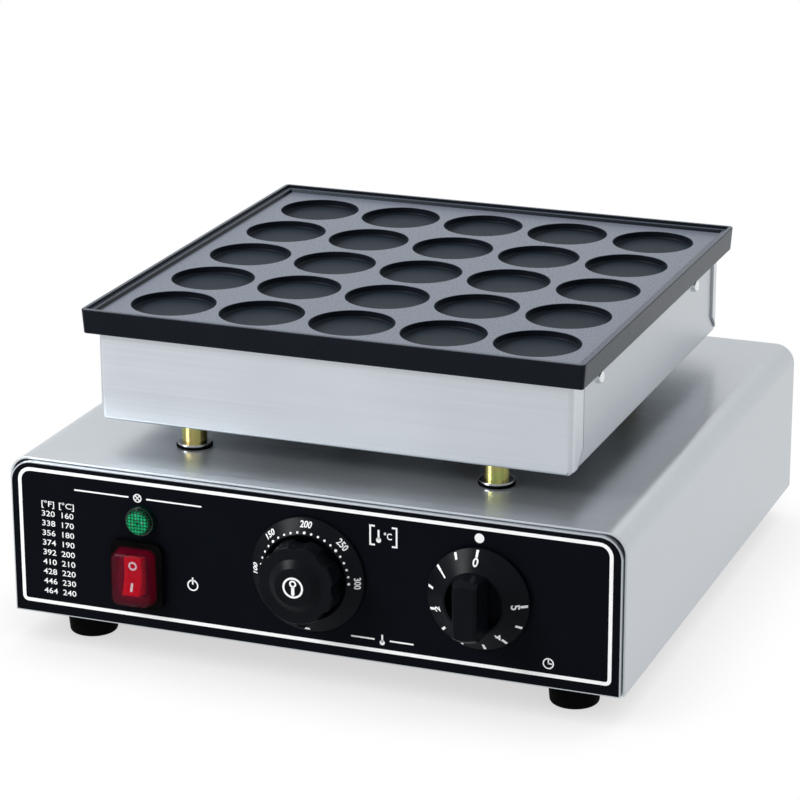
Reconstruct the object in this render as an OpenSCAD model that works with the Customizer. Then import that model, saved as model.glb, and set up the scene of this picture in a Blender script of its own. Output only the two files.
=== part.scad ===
// Mini pancake maker: a cast plate with round cups on a heated pan, on stand-offs over a control base.
// Millimetres, +Z up, the controls face -Y, the origin lies on the table under the middle of the base.

/* [Base] */
// Width of the base cover
base_w = 368; // [340:1:420]
// Depth of the base from the front panel's face to its rear
base_d = 360; // [345:1:420]
// Height of the base without its feet
base_h = 93.5; // [90:0.5:120]
// Outside radius of the cover's two top bends
cover_bend_r = 12; // [6:0.5:16]
// Thickness of the folded sheet steel
sheet_t = 1.2; // [0.8:0.1:1.5]
// Width of the flanges that carry the bottom plate
flange_w = 10; // [8:0.5:12]

/* [Front and rear panels] */
// How far the front panel stands proud of the cover's edge
panel_proud = 3; // [1:0.5:5]
// Gap between the panels and the cover
panel_gap = 0.4; // [0.3:0.1:1]
// Corner radius at the top of the panels
panel_corner_r = 13; // [12:0.5:18]
// Thickness of the black front film
film_t = 0.5; // [0.4:0.1:1]
// Bare steel left around the film
film_margin = 0.8; // [0.4:0.1:4]

/* [Feet] */
// Height of the feet under the base
foot_h = 18.5; // [14:0.5:24]
// Diameter of a foot at its top
foot_top_d = 31; // [26:0.5:36]
// Diameter of a foot at the table
foot_low_d = 28; // [20:0.5:30]
// Distance of the feet from the side flanges
foot_gap_x = 9.8; // [2:0.1:40]
// Distance of the feet from the front and rear flanges
foot_gap_y = 2.3; // [1:0.1:40]

/* [Cooking plate] */
// Distance from the outer cups to the edge of the plate
plate_margin = 15; // [12:0.1:24]
// Corner radius of the rim
plate_corner_r = 3; // [3:0.5:12]
// Height of the rim from its underside to the lip
rim_h = 14.5; // [11:0.5:18]
// Height of the lip above the cooking surface
lip_h = 3.6; // [2:0.1:5]
// Width of the flat top of the lip
lip_w = 1.7; // [1.5:0.1:3]
// Width of the ledge halfway down inside the lip
ledge_w = 2.8; // [0.8:0.1:3]
// Draft of the rim's outer side over its height
rim_draft = 1.0; // [0:0.1:1.2]
// Rounding of the rim's outer edges
rim_edge_r = 0.7; // [0.5:0.1:1.8]
// Cups along each side
cup_count = 5; // [3:1:5]
// Distance from cup to cup
cup_pitch = 55; // [52:0.5:56]
// Radius of a cup at the cooking surface
cup_r = 25; // [20:0.1:25]
// Depth of a cup
cup_depth = 4.5; // [4.5:0.1:6]
// Rounding between wall and floor of a cup
cup_fillet_r = 1.4; // [1:0.1:4]
// Rounding of a cup's upper edge
cup_edge_r = 0.5; // [0.4:0.1:1]
// Thickness of the plate below the rim
plate_step = 2; // [1:0.5:4]

/* [Heater pan] */
// Overhang of the plate past the pan's side walls
overhang_x = 9; // [8:0.5:14]
// Overhang of the plate past the pan's end walls
overhang_y = 6; // [4:0.5:10]
// Height of the pan
pan_h = 52; // [48:0.5:70]
// Bend radius of the pan's folds, outside
pan_bend_r = 2; // [2:0.5:4]
// Length of the front tabs along the side walls
tab_front = 19; // [12:0.5:24]
// Length of the rear tabs along the side walls
tab_rear = 10; // [9:0.5:24]
// Height of the slanted cut under the tabs
tab_cut = 11.5; // [8:0.5:14]
// Distance of the side screws from the middle of the plate
side_screw_y = 95; // [60:1:110]
// Depth of the side screws below the rim
side_screw_drop = 9.5; // [6.5:0.5:14]

/* [Stand-offs] */
// Gap between base and pan
gap_h = 16; // [12:0.5:30]
// Distance of the stand-offs from the pan's sides
standoff_inset_x = 49; // [30:0.5:70]
// Distance of the stand-offs from the pan's front and rear
standoff_inset_y = 19; // [16:0.5:34]
// Diameter of the stand-off tubes
tube_d = 14.5; // [12:0.5:18]
// Diameter of the bright washers
washer_d = 20; // [18:0.5:26]
// Diameter of the black washers
pad_d = 21; // [18:0.5:28]
// Diameter of the stand-off bolts
bolt_d = 8; // [6:0.5:8]

/* [Controls] */
// Distance of the switch from the left side of the base
switch_inset = 81; // [64:0.5:86]
// Distance of the lamp from the left side of the base
lamp_inset = 83.5; // [64:0.5:86]
// Distance of the timer from the right side of the base
timer_inset = 82; // [64:0.5:86]
// Distance of the temperature dial from the middle of the base
temperature_x = 1.5; // [-4:0.5:4]
// Height of the dials above the base's underside
dial_z = 47.5; // [44:0.5:52]
// Height of the switch above the base's underside
switch_z = 33; // [30:0.5:36]
// Height of the lamp above the switch
lamp_rise = 32.5; // [30:0.5:36]
// Radius of the temperature scale ring
scale_r = 33.7; // [32:0.1:36]
// Radius of the temperature knob's grip
knob_r = 23.4; // [20:0.1:24]
// Radius of the tip of the temperature knob's pointer
pointer_r = 28; // [25:0.5:31]
// Height of the temperature knob above the film
knob_h = 23; // [22:0.5:32]
// Radius of the timer's skirt
skirt_r = 29.5; // [27:0.1:32]
// Height of the timer's finger bar above the film
finger_h = 26.5; // [20:0.5:32]
// Width of the timer's finger bar
finger_w = 14; // [10:0.5:16]
// Radius of the spindles
spindle_r = 3; // [2.5:0.1:3.5]
// Radial play of a turning spindle
spindle_play = 0.05; // [0.02:0.01:0.1]
// Tilt of the rocker to each side
rocker_tilt = 9; // [6:0.5:10]
// Diameter of the lamp's bezel
lamp_d = 18; // [17:0.5:20]

/* [Cable gland] */
// Distance of the gland from the middle of the rear panel
gland_x = 120; // [90:1:150]
// Height of the gland above the base's underside
gland_z = 33.5; // [25:0.5:60]
// Radius of the gland's bore
gland_bore_r = 4.5; // [3:0.1:5]
// How far the gland stands out from the rear panel
gland_out = 27; // [24:0.5:36]

/* [Hidden] */
$fn = 64;
// Overlap of cutting tools, and of shapes that join
cut = 1;
weld = 0.01;
// Outlines that follow from the sizes above
switch_x = switch_inset - base_w / 2;
lamp_x = lamp_inset - base_w / 2;
timer_x = base_w / 2 - timer_inset;
plate_w = (cup_count - 1) * cup_pitch + 2 * cup_r + 2 * plate_margin;
pan_w = plate_w - 2 * overhang_x;
pan_d = plate_w - 2 * overhang_y;
standoff_x = pan_w / 2 - standoff_inset_x;
standoff_y = pan_d / 2 - standoff_inset_y;
// Heights above the table
z_base = foot_h;
z_top = z_base + base_h;
z_pan = z_top + gap_h;
z_rim = z_pan + pan_h;
z_lip = z_rim + rim_h;
z_land = z_lip - lip_h;
z_under = z_rim - plate_step;
z_dial = z_base + dial_z;
z_switch = z_base + switch_z;
z_lamp = z_switch + lamp_rise;
// Faces across the depth
y_panel = base_d / 2;
y_film = y_panel + film_t;
cover_d = base_d - panel_proud;
panel_w = base_w - 2 * sheet_t - 2 * panel_gap;
panel_h = base_h - sheet_t - panel_gap;
film_w = panel_w - 2 * film_margin;
film_h = panel_h - 2 * film_margin;
film_corner_r = panel_corner_r - film_margin;
foot_x = base_w / 2 - sheet_t - flange_w - foot_gap_x - foot_top_d / 2;
foot_y = base_d / 2 - sheet_t - flange_w - foot_gap_y - foot_top_d / 2;
// Small machine screws: shank, clearance hole and head
m4_r = 2;
m4_hole_r = 2.3;
m4_head_r = 3.6;
m4_head_h = 2.4;
thread_play = 0.05;
// Self-tapping screws of the bottom plate
tap_r = 1.45;
tap_head_r = 3.2;
tap_head_h = 2;
tap_len = 8;
tap_x = base_w / 2 - sheet_t - flange_w / 2;
tap_y = base_d / 2 - sheet_t - flange_w / 2;
tap_step = 60;
// Play round the threads that pass through the panel and the spindles in their knobs
knob_play = 0.02;
end_room = 0.5;
// Feet
foot_well_r = 5.5;
foot_well_h = 8;
foot_edge_r = 2;
nut_af = 7;
nut_h = 3.2;
nut_tail = 1;
// Air slots in the bottom plate
slot_len = 60;
slot_w = 5;
slot_step = 15;
slot_rows = 6;
slot_x = 70;
slot_y = -40;
// Rim and cups
wall_slope = 0.6;
rim_in = rim_edge_r + lip_w + ledge_w + 2 * wall_slope;
land_w = plate_w - 2 * rim_in;
cup_field = (cup_count - 1) / 2;
// Lugs under the plate that take the side screws
lug_w = 18;
lug_t = 12;
lug_below = 6;
lug_h = side_screw_drop - plate_step + lug_below;
screw_short = 2;
lug_play = 0.2;
pan_in_x = pan_w / 2 - sheet_t;
pan_in_y = pan_d / 2 - sheet_t;
tab_r = pan_bend_r + sheet_t;
// Heating element
tube_r = 4;
tube_gap = 0.1;
run_pitch = cup_pitch;
run_inset = 54;
run_y = pan_d / 2 - run_inset;
z_tube = z_under - tube_r - tube_gap;
seal_r = 3.8;
seal_len = 8;
pin_r = 1.5;
pin_len = 12;
end_inset = 36;
end_y = pan_d / 2 - end_inset;
// Clamp bars and their screws
clamp_y = 45;
clamp_past = 11;
clamp_len = 2 * (1.5 * run_pitch + clamp_past);
clamp_w = 16;
clamp_t = 3;
z_clamp = z_tube - tube_r - tube_gap;
boss_r = 6;
boss_gap = 1;
boss_h = 2 * tube_r - boss_gap;
m5_r = 2.5;
m5_hole_r = 2.8;
m5_head_r = 4.4;
m5_head_h = 3.2;
m5_grip = 5;
// Sensor bulb and clip
bulb_r = 3.2;
bulb_len = 64;
bulb_x = 13;
z_bulb = z_under - bulb_r - tube_gap;
clip_w = 12;
clip_t = 1;
clip_lip = 2;
z_clip = z_bulb - bulb_r - tube_gap;
// Blanket and reflector
heater_room = 30;
blanket_h = pan_h - heater_room;
soft_gap = 0.2;
blanket_side = pan_bend_r - sheet_t + soft_gap;
head_room = 2;
z_blanket = z_pan + sheet_t;
z_shield = z_blanket + blanket_h;
shield_t = 0.6;
shield_rise = 7;
shield_side = 1;
// Stand-off stack
pad_t = 1.5;
washer_t = 1.3;
bolt_play = 0.3;
bolt_head_af = 13;
bolt_head_h = 5.3;
bolt_nut_h = 6.5;
bolt_tail = 3;
// Conduit for the leads
conduit_inset = 49;
conduit_y = pan_d / 2 - conduit_inset;
conduit_r = 10;
conduit_bore_r = 8;
conduit_nut_af = 27;
conduit_nut_h = 4;
conduit_low = 9;
conduit_up = 9;
lead_r = 1.5;
lead_x = 3.2;
lead_dy = 3.2;
capillary_r = 1;
// Switch
bezel_w = 32;
bezel_h = 40;
bezel_t = 3.5;
bezel_r = 5;
boot_w = 25.5;
boot_h = 33.5;
boot_out = 9.5;
boot_t = 1.1;
boot_r = 5;
switch_w = 22;
switch_h = 28;
switch_depth = 30;
cutout_play = 0.2;
rocker_w = 11;
rocker_len = 22;
rocker_face = 8.3;
rocker_dip = 2.2;
rocker_root = 4.5;
well_play = 0.5;
well_w = rocker_w + 2 * well_play;
well_swing = 1.6;
well_len = rocker_len + 2 * well_swing;
well_depth = 7;
pivot_z = 1.5;
pivot_r = 1.5;
pivot_len = 1.4;
pivot_end = 0.3;
blade_w = 6.3;
blade_t = 0.8;
blade_len = 10;
blade_x = 5;
blade_z = 7;
// Lamp
lens_d = 15;
lens_rise = 2.4;
lens_slope = 1.2;
lens_play = 0.1;
lens_seat = 1;
lens_low = 0.5;
lamp_rim = 3;
lamp_slope = 0.6;
lamp_stem_r = 5.5;
lamp_stem_len = 22;
lamp_nut_af = 15;
lamp_nut_h = 4;
lamp_pole = 2.5;
// Thermostat and timer bodies
bracket_w = 40;
bracket_h = 22;
bracket_t = 2;
bracket_r = 3;
thermo_w = 44;
thermo_h = 38;
thermo_depth = 32;
timer_r = 24;
timer_depth = 38;
bush_r = 5;
bush_len = 3;
bush_play = 0.3;
control_screw_x = 14;
control_screw_len = 7;
control_head_h = 2;
spindle_in = 28;
inside = film_t + sheet_t;
term_x = 12;
term_z = 9;
// Temperature ring and knob
scale_in = knob_r + 1.2;
scale_edge = 1.8;
scale_rise = 7.2;
scale_round = 0.8;
scale_chamfer = 0.6;
grip_z = 8.5;
cap_rise = 3;
grip_top = knob_h - cap_rise;
grip_taper = 0.6;
grip_round = 1.2;
cap_r = 11;
cap_slope_r = 15.5;
scallop_r = 9;
scallop_in = 2.2;
scallop_count = 8;
hub_r = 8.5;
hub_gap = 1;
nose_t = 3;
nose_half = 6.5;
nose_tip = 2;
nose_in = 1.5;
spindle_out = 20;
// Timer knob
skirt_edge = 1.6;
skirt_chamfer = 0.6;
skirt_top_r = 18;
skirt_rise = 10.5;
dish_r = 16.5;
dish_z = 4.6;
dish_slope = 1.5;
under_r = 20;
under_h = 3;
finger_taper = 1.2;
finger_round = 1.5;
finger_drop = 3.5;
finger_end = 2.5;
finger_r = 18;
timer_spindle_out = 18;
// Gland
gland_af = 22;
gland_hex = 6;
gland_thread_r = 8;
gland_thread_len = 10;
gland_nut_h = 4;
gland_cap_r = 10.5;
gland_mouth_r = 7;
gland_slope = 8;
// Terminal block
block_w = 62;
block_d = 20;
block_h = 22;
block_x = 62;
block_y = 128;
block_poles = 5;
block_pole = 12;
block_end = 7;
block_well_r = 3.2;
block_well_h = 8;
pole_z = 9;
// Ends of the leads on the controls, the lamp, the heater and the terminal block
thermo_back = -y_film + inside + bracket_t + thermo_depth;
timer_back = -y_film + inside + bracket_t + timer_depth;
blade_back = -y_film + switch_depth + blade_len;
lamp_back = -y_film + lamp_stem_len;
pin_end = end_y + seal_len + pin_len;
pin_x = 1.5 * run_pitch;
switch_feed = [switch_x - blade_x, blade_back, z_switch - blade_z];
switch_out = [switch_x + blade_x, blade_back, z_switch + blade_z];
lamp_left = [lamp_x - lamp_pole, lamp_back, z_lamp];
lamp_right = [lamp_x + lamp_pole, lamp_back, z_lamp];
timer_in = [timer_x - term_x, timer_back, z_dial + term_z];
timer_out = [timer_x + term_x, timer_back, z_dial + term_z];
thermo_in = [temperature_x + term_x, thermo_back, z_dial + term_z];
thermo_out = [temperature_x - term_x, thermo_back, z_dial + term_z];
thermo_lamp = [temperature_x - term_x, thermo_back, z_dial - term_z];
heater_left = [-pin_x, pin_end, z_tube];
heater_right = [pin_x, pin_end, z_tube];
function pole(i) = [
  block_x - block_w / 2 + block_end + i * block_pole, block_y - block_d / 2, z_base + 2 * sheet_t + pole_z
];
// Straight stretch at the ends of the leads
away = [0, 16, 0];
pin_away = [0, 7, 0];
// Routes of the leads, end to end
feed_route = [
  pole(1), pole(1) - away, [0, 40, z_base + 12], [-70, -60, z_base + 16],
  switch_feed + 1.5 * away, switch_feed + away, switch_feed
];
timer_route = [
  switch_out, switch_out + away, [-50, -100, z_switch + 6], [40, -98, z_switch + 14],
  timer_in + 1.5 * away, timer_in + away, timer_in
];
thermostat_route = [
  timer_out, timer_out + away, [80, -88, z_dial + 22], [30, -98, z_dial + 18], thermo_in + away, thermo_in
];
lamp_return_route = [
  lamp_left, lamp_left + away, [-75, -70, z_lamp - 4], [0, 20, z_base + 28], [70, 85, z_base + 20],
  pole(3) - away, pole(3)
];
lamp_route = [
  lamp_right, lamp_right + away, [-60, -115, z_lamp], [-25, -112, z_dial - 4], thermo_lamp + away, thermo_lamp
];
heater_mid = z_shield + 8;
heater_route = [
  thermo_out, thermo_out + away, [-22, -40, z_dial + 6], [-14, 50, z_top - 34],
  [-lead_x, conduit_y - lead_dy, z_top - conduit_low - 8], [-lead_x, conduit_y - lead_dy, z_top + 8],
  [-lead_x, conduit_y - lead_dy, z_blanket + 12], [-lead_x, conduit_y - lead_dy, z_shield + 2],
  [-30, conduit_y + 8, heater_mid + 3], [-pin_x + 10, pin_end + 2, heater_mid + 5],
  heater_left + pin_away, heater_left
];
heater_return_route = [
  pole(2), pole(2) - away, [20, 85, z_base + 44],
  [-lead_x, conduit_y + lead_dy, z_top - conduit_low - 8], [-lead_x, conduit_y + lead_dy, z_top + 8],
  [-lead_x, conduit_y + lead_dy, z_blanket + 12], [-lead_x, conduit_y + lead_dy, z_shield + 2],
  [30, conduit_y + 12, heater_mid + 3], [pin_x - 10, pin_end + 2, heater_mid + 5],
  heater_right + pin_away, heater_right
];
capillary_route = [
  [bulb_x, bulb_len / 2, z_bulb], [bulb_x, bulb_len / 2 + 22, z_bulb],
  [lead_x + 5, conduit_y - 10, z_under - 12], [lead_x, conduit_y, z_shield + 2],
  [lead_x, conduit_y, z_pan - 2], [lead_x, conduit_y, z_top - conduit_low],
  [lead_x, conduit_y - 20, z_top - 25], [0, 0, z_top - 30], [temperature_x, thermo_back + 40, z_dial + 4],
  [temperature_x, thermo_back + 18, z_dial], [temperature_x, thermo_back, z_dial]
];

steel = [0.78, 0.79, 0.80];
bright = [0.86, 0.86, 0.87];
black = [0.05, 0.05, 0.06];
cast = [0.20, 0.21, 0.23];
zinc = [0.80, 0.68, 0.38];
white = [0.92, 0.91, 0.88];

// Piece to draw, or all of them

// Plain shapes

module soft_rect(w, h, r) {
  square([w - 2 * r, h], center = true);
  square([w, h - 2 * r], center = true);
  for (x = [-1, 1]) {
    for (y = [-1, 1]) {
      translate([x * (w / 2 - r), y * (h / 2 - r)]) circle(r);
    }
  }
}

// Upright outline, standing on y = 0, with rounded top corners
module arch_rect(w, h, r) {
  translate([-w / 2, 0]) square([w, h - r]);
  translate([-w / 2 + r, 0]) square([w - 2 * r, h]);
  for (x = [-1, 1]) {
    translate([x * (w / 2 - r), h - r]) circle(r);
  }
}

// Open channel with rounded lower corners, standing on y = 0
module channel(w, h, r, t) {
  difference() {
    trough(w, h, r);
    translate([0, t]) trough(w - 2 * t, h, r - t);
  }
}

module trough(w, h, r) {
  translate([-w / 2, r]) square([w, h - r]);
  translate([-w / 2 + r, 0]) square([w - 2 * r, h]);
  for (x = [-1, 1]) {
    translate([x * (w / 2 - r), r]) circle(r);
  }
}

module hex(af, h) {
  cylinder(d = af / cos(30), h = h, $fn = 6);
}

module hex_nut(af, h, hole_r) {
  difference() {
    hex(af, h);
    translate([0, 0, -cut]) cylinder(r = hole_r, h = h + 2 * cut);
  }
}

module ring(r, hole_r, h) {
  difference() {
    cylinder(r = r, h = h);
    translate([0, 0, -cut]) cylinder(r = hole_r, h = h + 2 * cut);
  }
}

// Pan-head screw: the head rises from z = 0, the shank hangs below
module pan_screw(r, len, head_r, head_h) {
  translate([0, 0, -len]) cylinder(r = r, h = len);
  rotate_extrude() {
    square([head_r, head_h / 2]);
    square([head_r - head_h / 2, head_h]);
    intersection() {
      translate([head_r - head_h / 2, head_h / 2]) circle(head_h / 2);
      square([head_r, head_h]);
    }
  }
}

// Faces a piece forward: x to the right, y up, z out of the panel from the face of the film
module on_panel(x, z) {
  translate([x, -y_film, z]) rotate([90, 0, 0]) children();
}

module four(x, y) {
  for (sx = [-1, 1]) {
    for (sy = [-1, 1]) {
      translate([sx * x, sy * y, 0]) children();
    }
  }
}

// Smooth round leads along a row of points
function unit(v) = v / norm(v);
function curve(a, b, c, d, t) =
  0.5 * (2 * b + (c - a) * t + (2 * a - 5 * b + 4 * c - d) * t * t + (3 * b - a - 3 * c + d) * t * t * t);
function lead_line(p, steps) = concat(
  [for (i = [0:len(p) - 2], s = [0:steps - 1])
    curve(p[max(i - 1, 0)], p[i], p[i + 1], p[min(i + 2, len(p) - 1)], s / steps)],
  [p[len(p) - 1]]
);
// Direction at one ring of the lead, square to its ends
function heading(p, q, i) =
  i == 0 ? unit(p[1] - p[0])
  : i == len(q) - 1 ? unit(p[len(p) - 1] - p[len(p) - 2])
  : unit(q[i + 1] - q[i - 1]);
function square_to(v, t) = unit(v - (v * t) * t);
function side_rows(t, i, rows) =
  i == len(t) ? rows : side_rows(t, i + 1, concat(rows, [square_to(rows[i - 1], t[i])]));

module lead(p, r, steps = 5, sides = 8) {
  q = lead_line(p, steps);
  n = len(q);
  t = [for (i = [0:n - 1]) heading(p, q, i)];
  side = side_rows(t, 1, [square_to([0, 0, 1], t[0])]);
  up = [for (i = [0:n - 1]) cross(t[i], side[i])];
  points = [for (i = [0:n - 1], k = [0:sides - 1])
    q[i] + r * (cos(360 * k / sides) * side[i] + sin(360 * k / sides) * up[i])];
  walls = [for (i = [0:n - 2], k = [0:sides - 1])
    [i * sides + k, i * sides + (k + 1) % sides, (i + 1) * sides + (k + 1) % sides, (i + 1) * sides + k]];
  start = [[for (k = [sides - 1:-1:0]) k]];
  finish = [[for (k = [0:sides - 1]) (n - 1) * sides + k]];
  polyhedron(points, [for (f = concat(walls, start, finish)) [for (k = [len(f) - 1:-1:0]) f[k]]]);
}

// Cooking plate

// Section of the rim: x outwards from the corner's axis, y up from the rim's underside
module rim_section() {
  r = rim_edge_r;
  out = plate_corner_r;
  low = out - rim_draft;
  inner = out - rim_in;
  difference() {
    union() {
      polygon([
        [inner - weld, 0], [low - r, 0], [low, r], [out, rim_h - r], [out - r, rim_h],
        [out - r - lip_w, rim_h],
        [out - r - lip_w - wall_slope / 2, rim_h - lip_h / 2],
        [out - r - lip_w - wall_slope / 2 - ledge_w, rim_h - lip_h / 2],
        [inner, rim_h - lip_h], [inner - weld, rim_h - lip_h]
      ]);
      translate([low - r, r]) circle(r);
      translate([out - r, rim_h - r]) circle(r);
    }
    translate([-out, -out]) square([2 * out + inner - weld, out]);
  }
}

module rim() {
  side = plate_w - 2 * plate_corner_r;
  for (a = [0:90:270]) {
    rotate(a) {
      translate([side / 2, side / 2, 0]) rotate_extrude(angle = 90) intersection() {
        rim_section();
        square([plate_corner_r + cut, rim_h + cut]);
      }
      translate([side / 2, side / 2, 0]) rotate([90, 0, 0]) linear_extrude(side) rim_section();
    }
  }
}

// Cutting tool of one cup, from its floor up past the cooking surface
module cup_tool() {
  wall = cup_r - cup_edge_r;
  rotate_extrude() {
    square([wall - cup_fillet_r, cup_depth + cut]);
    translate([0, cup_fillet_r]) square([wall, cup_depth + cut - cup_fillet_r]);
    translate([wall - cup_fillet_r, cup_fillet_r]) circle(cup_fillet_r);
    difference() {
      translate([0, cup_depth - cup_edge_r]) square([cup_r, cup_edge_r + cut]);
      translate([cup_r, cup_depth - cup_edge_r]) circle(cup_edge_r);
    }
  }
}

module lugs() {
  for (s = [-1, 1]) {
    for (y = [-1, 1]) {
      translate([s * (pan_in_x - lug_play - lug_t / 2), y * side_screw_y, z_under - lug_h]) {
        translate([-lug_t / 2, -lug_w / 2, 0]) cube([lug_t, lug_w, lug_h + cut]);
      }
    }
  }
}

module clamp_places() {
  for (x = [-1, 0, 1]) {
    for (y = [-clamp_y, clamp_y]) {
      translate([x * run_pitch, y, 0]) children();
    }
  }
}

module cooking_plate() {
  step_w = 2 * (pan_in_x - lug_play);
  step_d = 2 * (pan_in_y - lug_play);
  color(cast) difference() {
    union() {
      translate([0, 0, z_rim]) rim();
      translate([-land_w / 2, -land_w / 2, z_rim]) cube([land_w, land_w, rim_h - lip_h]);
      translate([0, 0, z_under]) linear_extrude(plate_step + cut) soft_rect(step_w, step_d, pan_bend_r);
      lugs();
      clamp_places() translate([0, 0, z_under - boss_h]) cylinder(r = boss_r, h = boss_h + cut);
      translate([0, 0, z_clip]) cylinder(r = boss_r, h = z_under - z_clip + cut);
    }
    for (i = [-cup_field:cup_field]) {
      for (j = [-cup_field:cup_field]) {
        translate([i * cup_pitch, j * cup_pitch, z_land - cup_depth]) cup_tool();
      }
    }
    side_screw_places() rotate([0, -90, 0]) cylinder(r = m4_r + thread_play, h = lug_t);
    clamp_places() translate([0, 0, z_clamp]) cylinder(r = m5_r + thread_play, h = z_under - z_clamp + cut);
    translate([0, 0, z_clip - cut]) cylinder(r = m5_r + thread_play, h = z_under - z_clip + cut);
  }
}

// Heater pan

// Outer face of each side wall at its screws, +Z turned outwards
module side_screw_places() {
  for (s = [-1, 1]) {
    for (y = [-1, 1]) {
      translate([s * pan_w / 2, y * side_screw_y, z_rim - side_screw_drop]) {
        rotate([0, 0, s > 0 ? 0 : 180]) children();
      }
    }
  }
}

// Tab of an end wall, seen from above: round the corner and along the side wall
module tab_plan(len) {
  intersection() {
    difference() {
      circle(tab_r);
      circle(pan_bend_r);
    }
    translate([0, -tab_r]) square(tab_r);
  }
  translate([pan_bend_r, 0]) square([sheet_t, len - tab_r]);
}

module tab(len) {
  difference() {
    translate([0, 0, pan_bend_r]) linear_extrude(pan_h - pan_bend_r) tab_plan(len);
    translate([-cut, len - tab_r - tab_cut, 0]) rotate([0, 90, 0]) linear_extrude(tab_r + 2 * cut) {
      polygon([[0, 0], [-tab_cut - cut, tab_cut + cut], [0, tab_cut + cut]]);
    }
  }
}

module heater_pan() {
  tab_x = pan_w / 2 - pan_bend_r;
  tab_y = pan_d / 2 - tab_r;
  color(steel) translate([0, 0, z_pan]) difference() {
    union() {
      rotate([90, 0, 0]) translate([0, 0, -(pan_d / 2 - pan_bend_r)]) {
        linear_extrude(pan_d - 2 * pan_bend_r) channel(pan_w, pan_h, pan_bend_r, sheet_t);
      }
      rotate([90, 0, 90]) translate([0, 0, -tab_x]) {
        linear_extrude(2 * tab_x) channel(pan_d, pan_h, pan_bend_r, sheet_t);
      }
      for (s = [0, 1]) {
        mirror([s, 0, 0]) {
          translate([tab_x, -tab_y, 0]) tab(tab_front);
          translate([tab_x, tab_y, 0]) mirror([0, 1, 0]) tab(tab_rear);
        }
      }
    }
    translate([0, 0, -z_pan]) side_screw_places() {
      translate([-2 * sheet_t, 0, 0]) rotate([0, 90, 0]) cylinder(r = m4_hole_r, h = 4 * sheet_t);
    }
    four(standoff_x, standoff_y) translate([0, 0, -cut]) {
      cylinder(r = bolt_d / 2 + bolt_play, h = sheet_t + 2 * cut);
    }
    translate([0, conduit_y, -cut]) cylinder(r = conduit_r + bolt_play, h = sheet_t + 2 * cut);
  }
}

module pan_screws() {
  color(bright) side_screw_places() rotate([0, 90, 0]) {
    pan_screw(m4_r, lug_t - screw_short, m4_head_r, m4_head_h);
  }
}

// Heater

module half_turn(r) {
  rotate_extrude(angle = 180) translate([r, 0]) circle(tube_r);
}

module heating_element() {
  bend = run_pitch / 2;
  color([0.36, 0.33, 0.31]) translate([0, 0, z_tube]) {
    for (s = [-1, 1]) {
      translate([s * 1.5 * run_pitch, -run_y, 0]) rotate([-90, 0, 0]) cylinder(r = tube_r, h = run_y + end_y);
      translate([s * bend, -run_y, 0]) rotate([-90, 0, 0]) cylinder(r = tube_r, h = 2 * run_y);
      translate([s * run_pitch, -run_y, 0]) rotate(180) half_turn(bend);
    }
    translate([0, run_y, 0]) half_turn(bend);
  }
}

// End seals with the terminal pins through them
module element_seals() {
  color(white) for (s = [-1, 1]) {
    translate([s * 1.5 * run_pitch, end_y, z_tube]) rotate([-90, 0, 0]) {
      cylinder(r = seal_r, h = seal_len);
      cylinder(r = pin_r, h = seal_len + pin_len);
    }
  }
}

module element_clamps() {
  color(steel) for (y = [-clamp_y, clamp_y]) {
    difference() {
      translate([-clamp_len / 2, y - clamp_w / 2, z_clamp - clamp_t]) cube([clamp_len, clamp_w, clamp_t]);
      for (x = [-1, 0, 1]) {
        translate([x * run_pitch, y, z_clamp - clamp_t - cut]) cylinder(r = m5_hole_r, h = clamp_t + 2 * cut);
      }
    }
  }
}

module clamp_screws() {
  len = z_under - z_clamp;
  color(bright) {
    clamp_places() translate([0, 0, z_clamp - clamp_t]) rotate([180, 0, 0]) {
      pan_screw(m5_r, clamp_t + len, m5_head_r, m5_head_h);
    }
    translate([0, 0, z_clip - clip_t]) rotate([180, 0, 0]) {
      pan_screw(m5_r, clip_t + m5_grip, m5_head_r, m5_head_h);
    }
  }
}

module heat_reflector() {
  w = 2 * (pan_in_x - shield_side);
  d = 2 * (pan_in_y - shield_side);
  color(bright) difference() {
    translate([-w / 2, -d / 2, z_shield]) cube([w, d, shield_t + shield_rise]);
    translate([-w / 2 + shield_t, -d / 2 + shield_t, z_shield + shield_t]) {
      cube([w - 2 * shield_t, d - 2 * shield_t, shield_rise + cut]);
    }
    translate([0, conduit_y, z_shield - cut]) {
      cylinder(r = conduit_bore_r + head_room, h = shield_t + 2 * cut);
    }
  }
}

module insulation_blanket() {
  w = 2 * (pan_in_x - blanket_side);
  d = 2 * (pan_in_y - blanket_side);
  color([0.90, 0.87, 0.78]) difference() {
    translate([-w / 2, -d / 2, z_blanket]) cube([w, d, blanket_h]);
    four(standoff_x, standoff_y) translate([0, 0, z_blanket - cut]) {
      cylinder(d = bolt_head_af / cos(30) + head_room, h = bolt_head_h + soft_gap + cut);
    }
    translate([0, conduit_y, z_blanket - cut]) {
      cylinder(d = conduit_nut_af / cos(30) + head_room, h = conduit_nut_h + soft_gap + cut);
      cylinder(r = conduit_r + soft_gap, h = blanket_h + 2 * cut);
    }
  }
}

module sensor_bulb() {
  color([0.72, 0.45, 0.30]) translate([bulb_x, -bulb_len / 2, z_bulb]) rotate([-90, 0, 0]) {
    cylinder(r = bulb_r, h = bulb_len);
  }
}

module bulb_clip() {
  far = bulb_x + bulb_r + tube_gap;
  color(steel) difference() {
    union() {
      translate([-boss_r, -clip_w / 2, z_clip - clip_t]) cube([far + boss_r + clip_t, clip_w, clip_t]);
      translate([far, -clip_w / 2, z_clip - clip_t]) cube([clip_t, clip_w, clip_t + bulb_r + clip_lip]);
    }
    translate([0, 0, z_clip - clip_t - cut]) cylinder(r = m5_hole_r, h = clip_t + 2 * cut);
  }
}

module capillary_tube() {
  color([0.75, 0.50, 0.34]) lead(capillary_route, capillary_r);
}

// Stand-offs, from the base up

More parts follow.
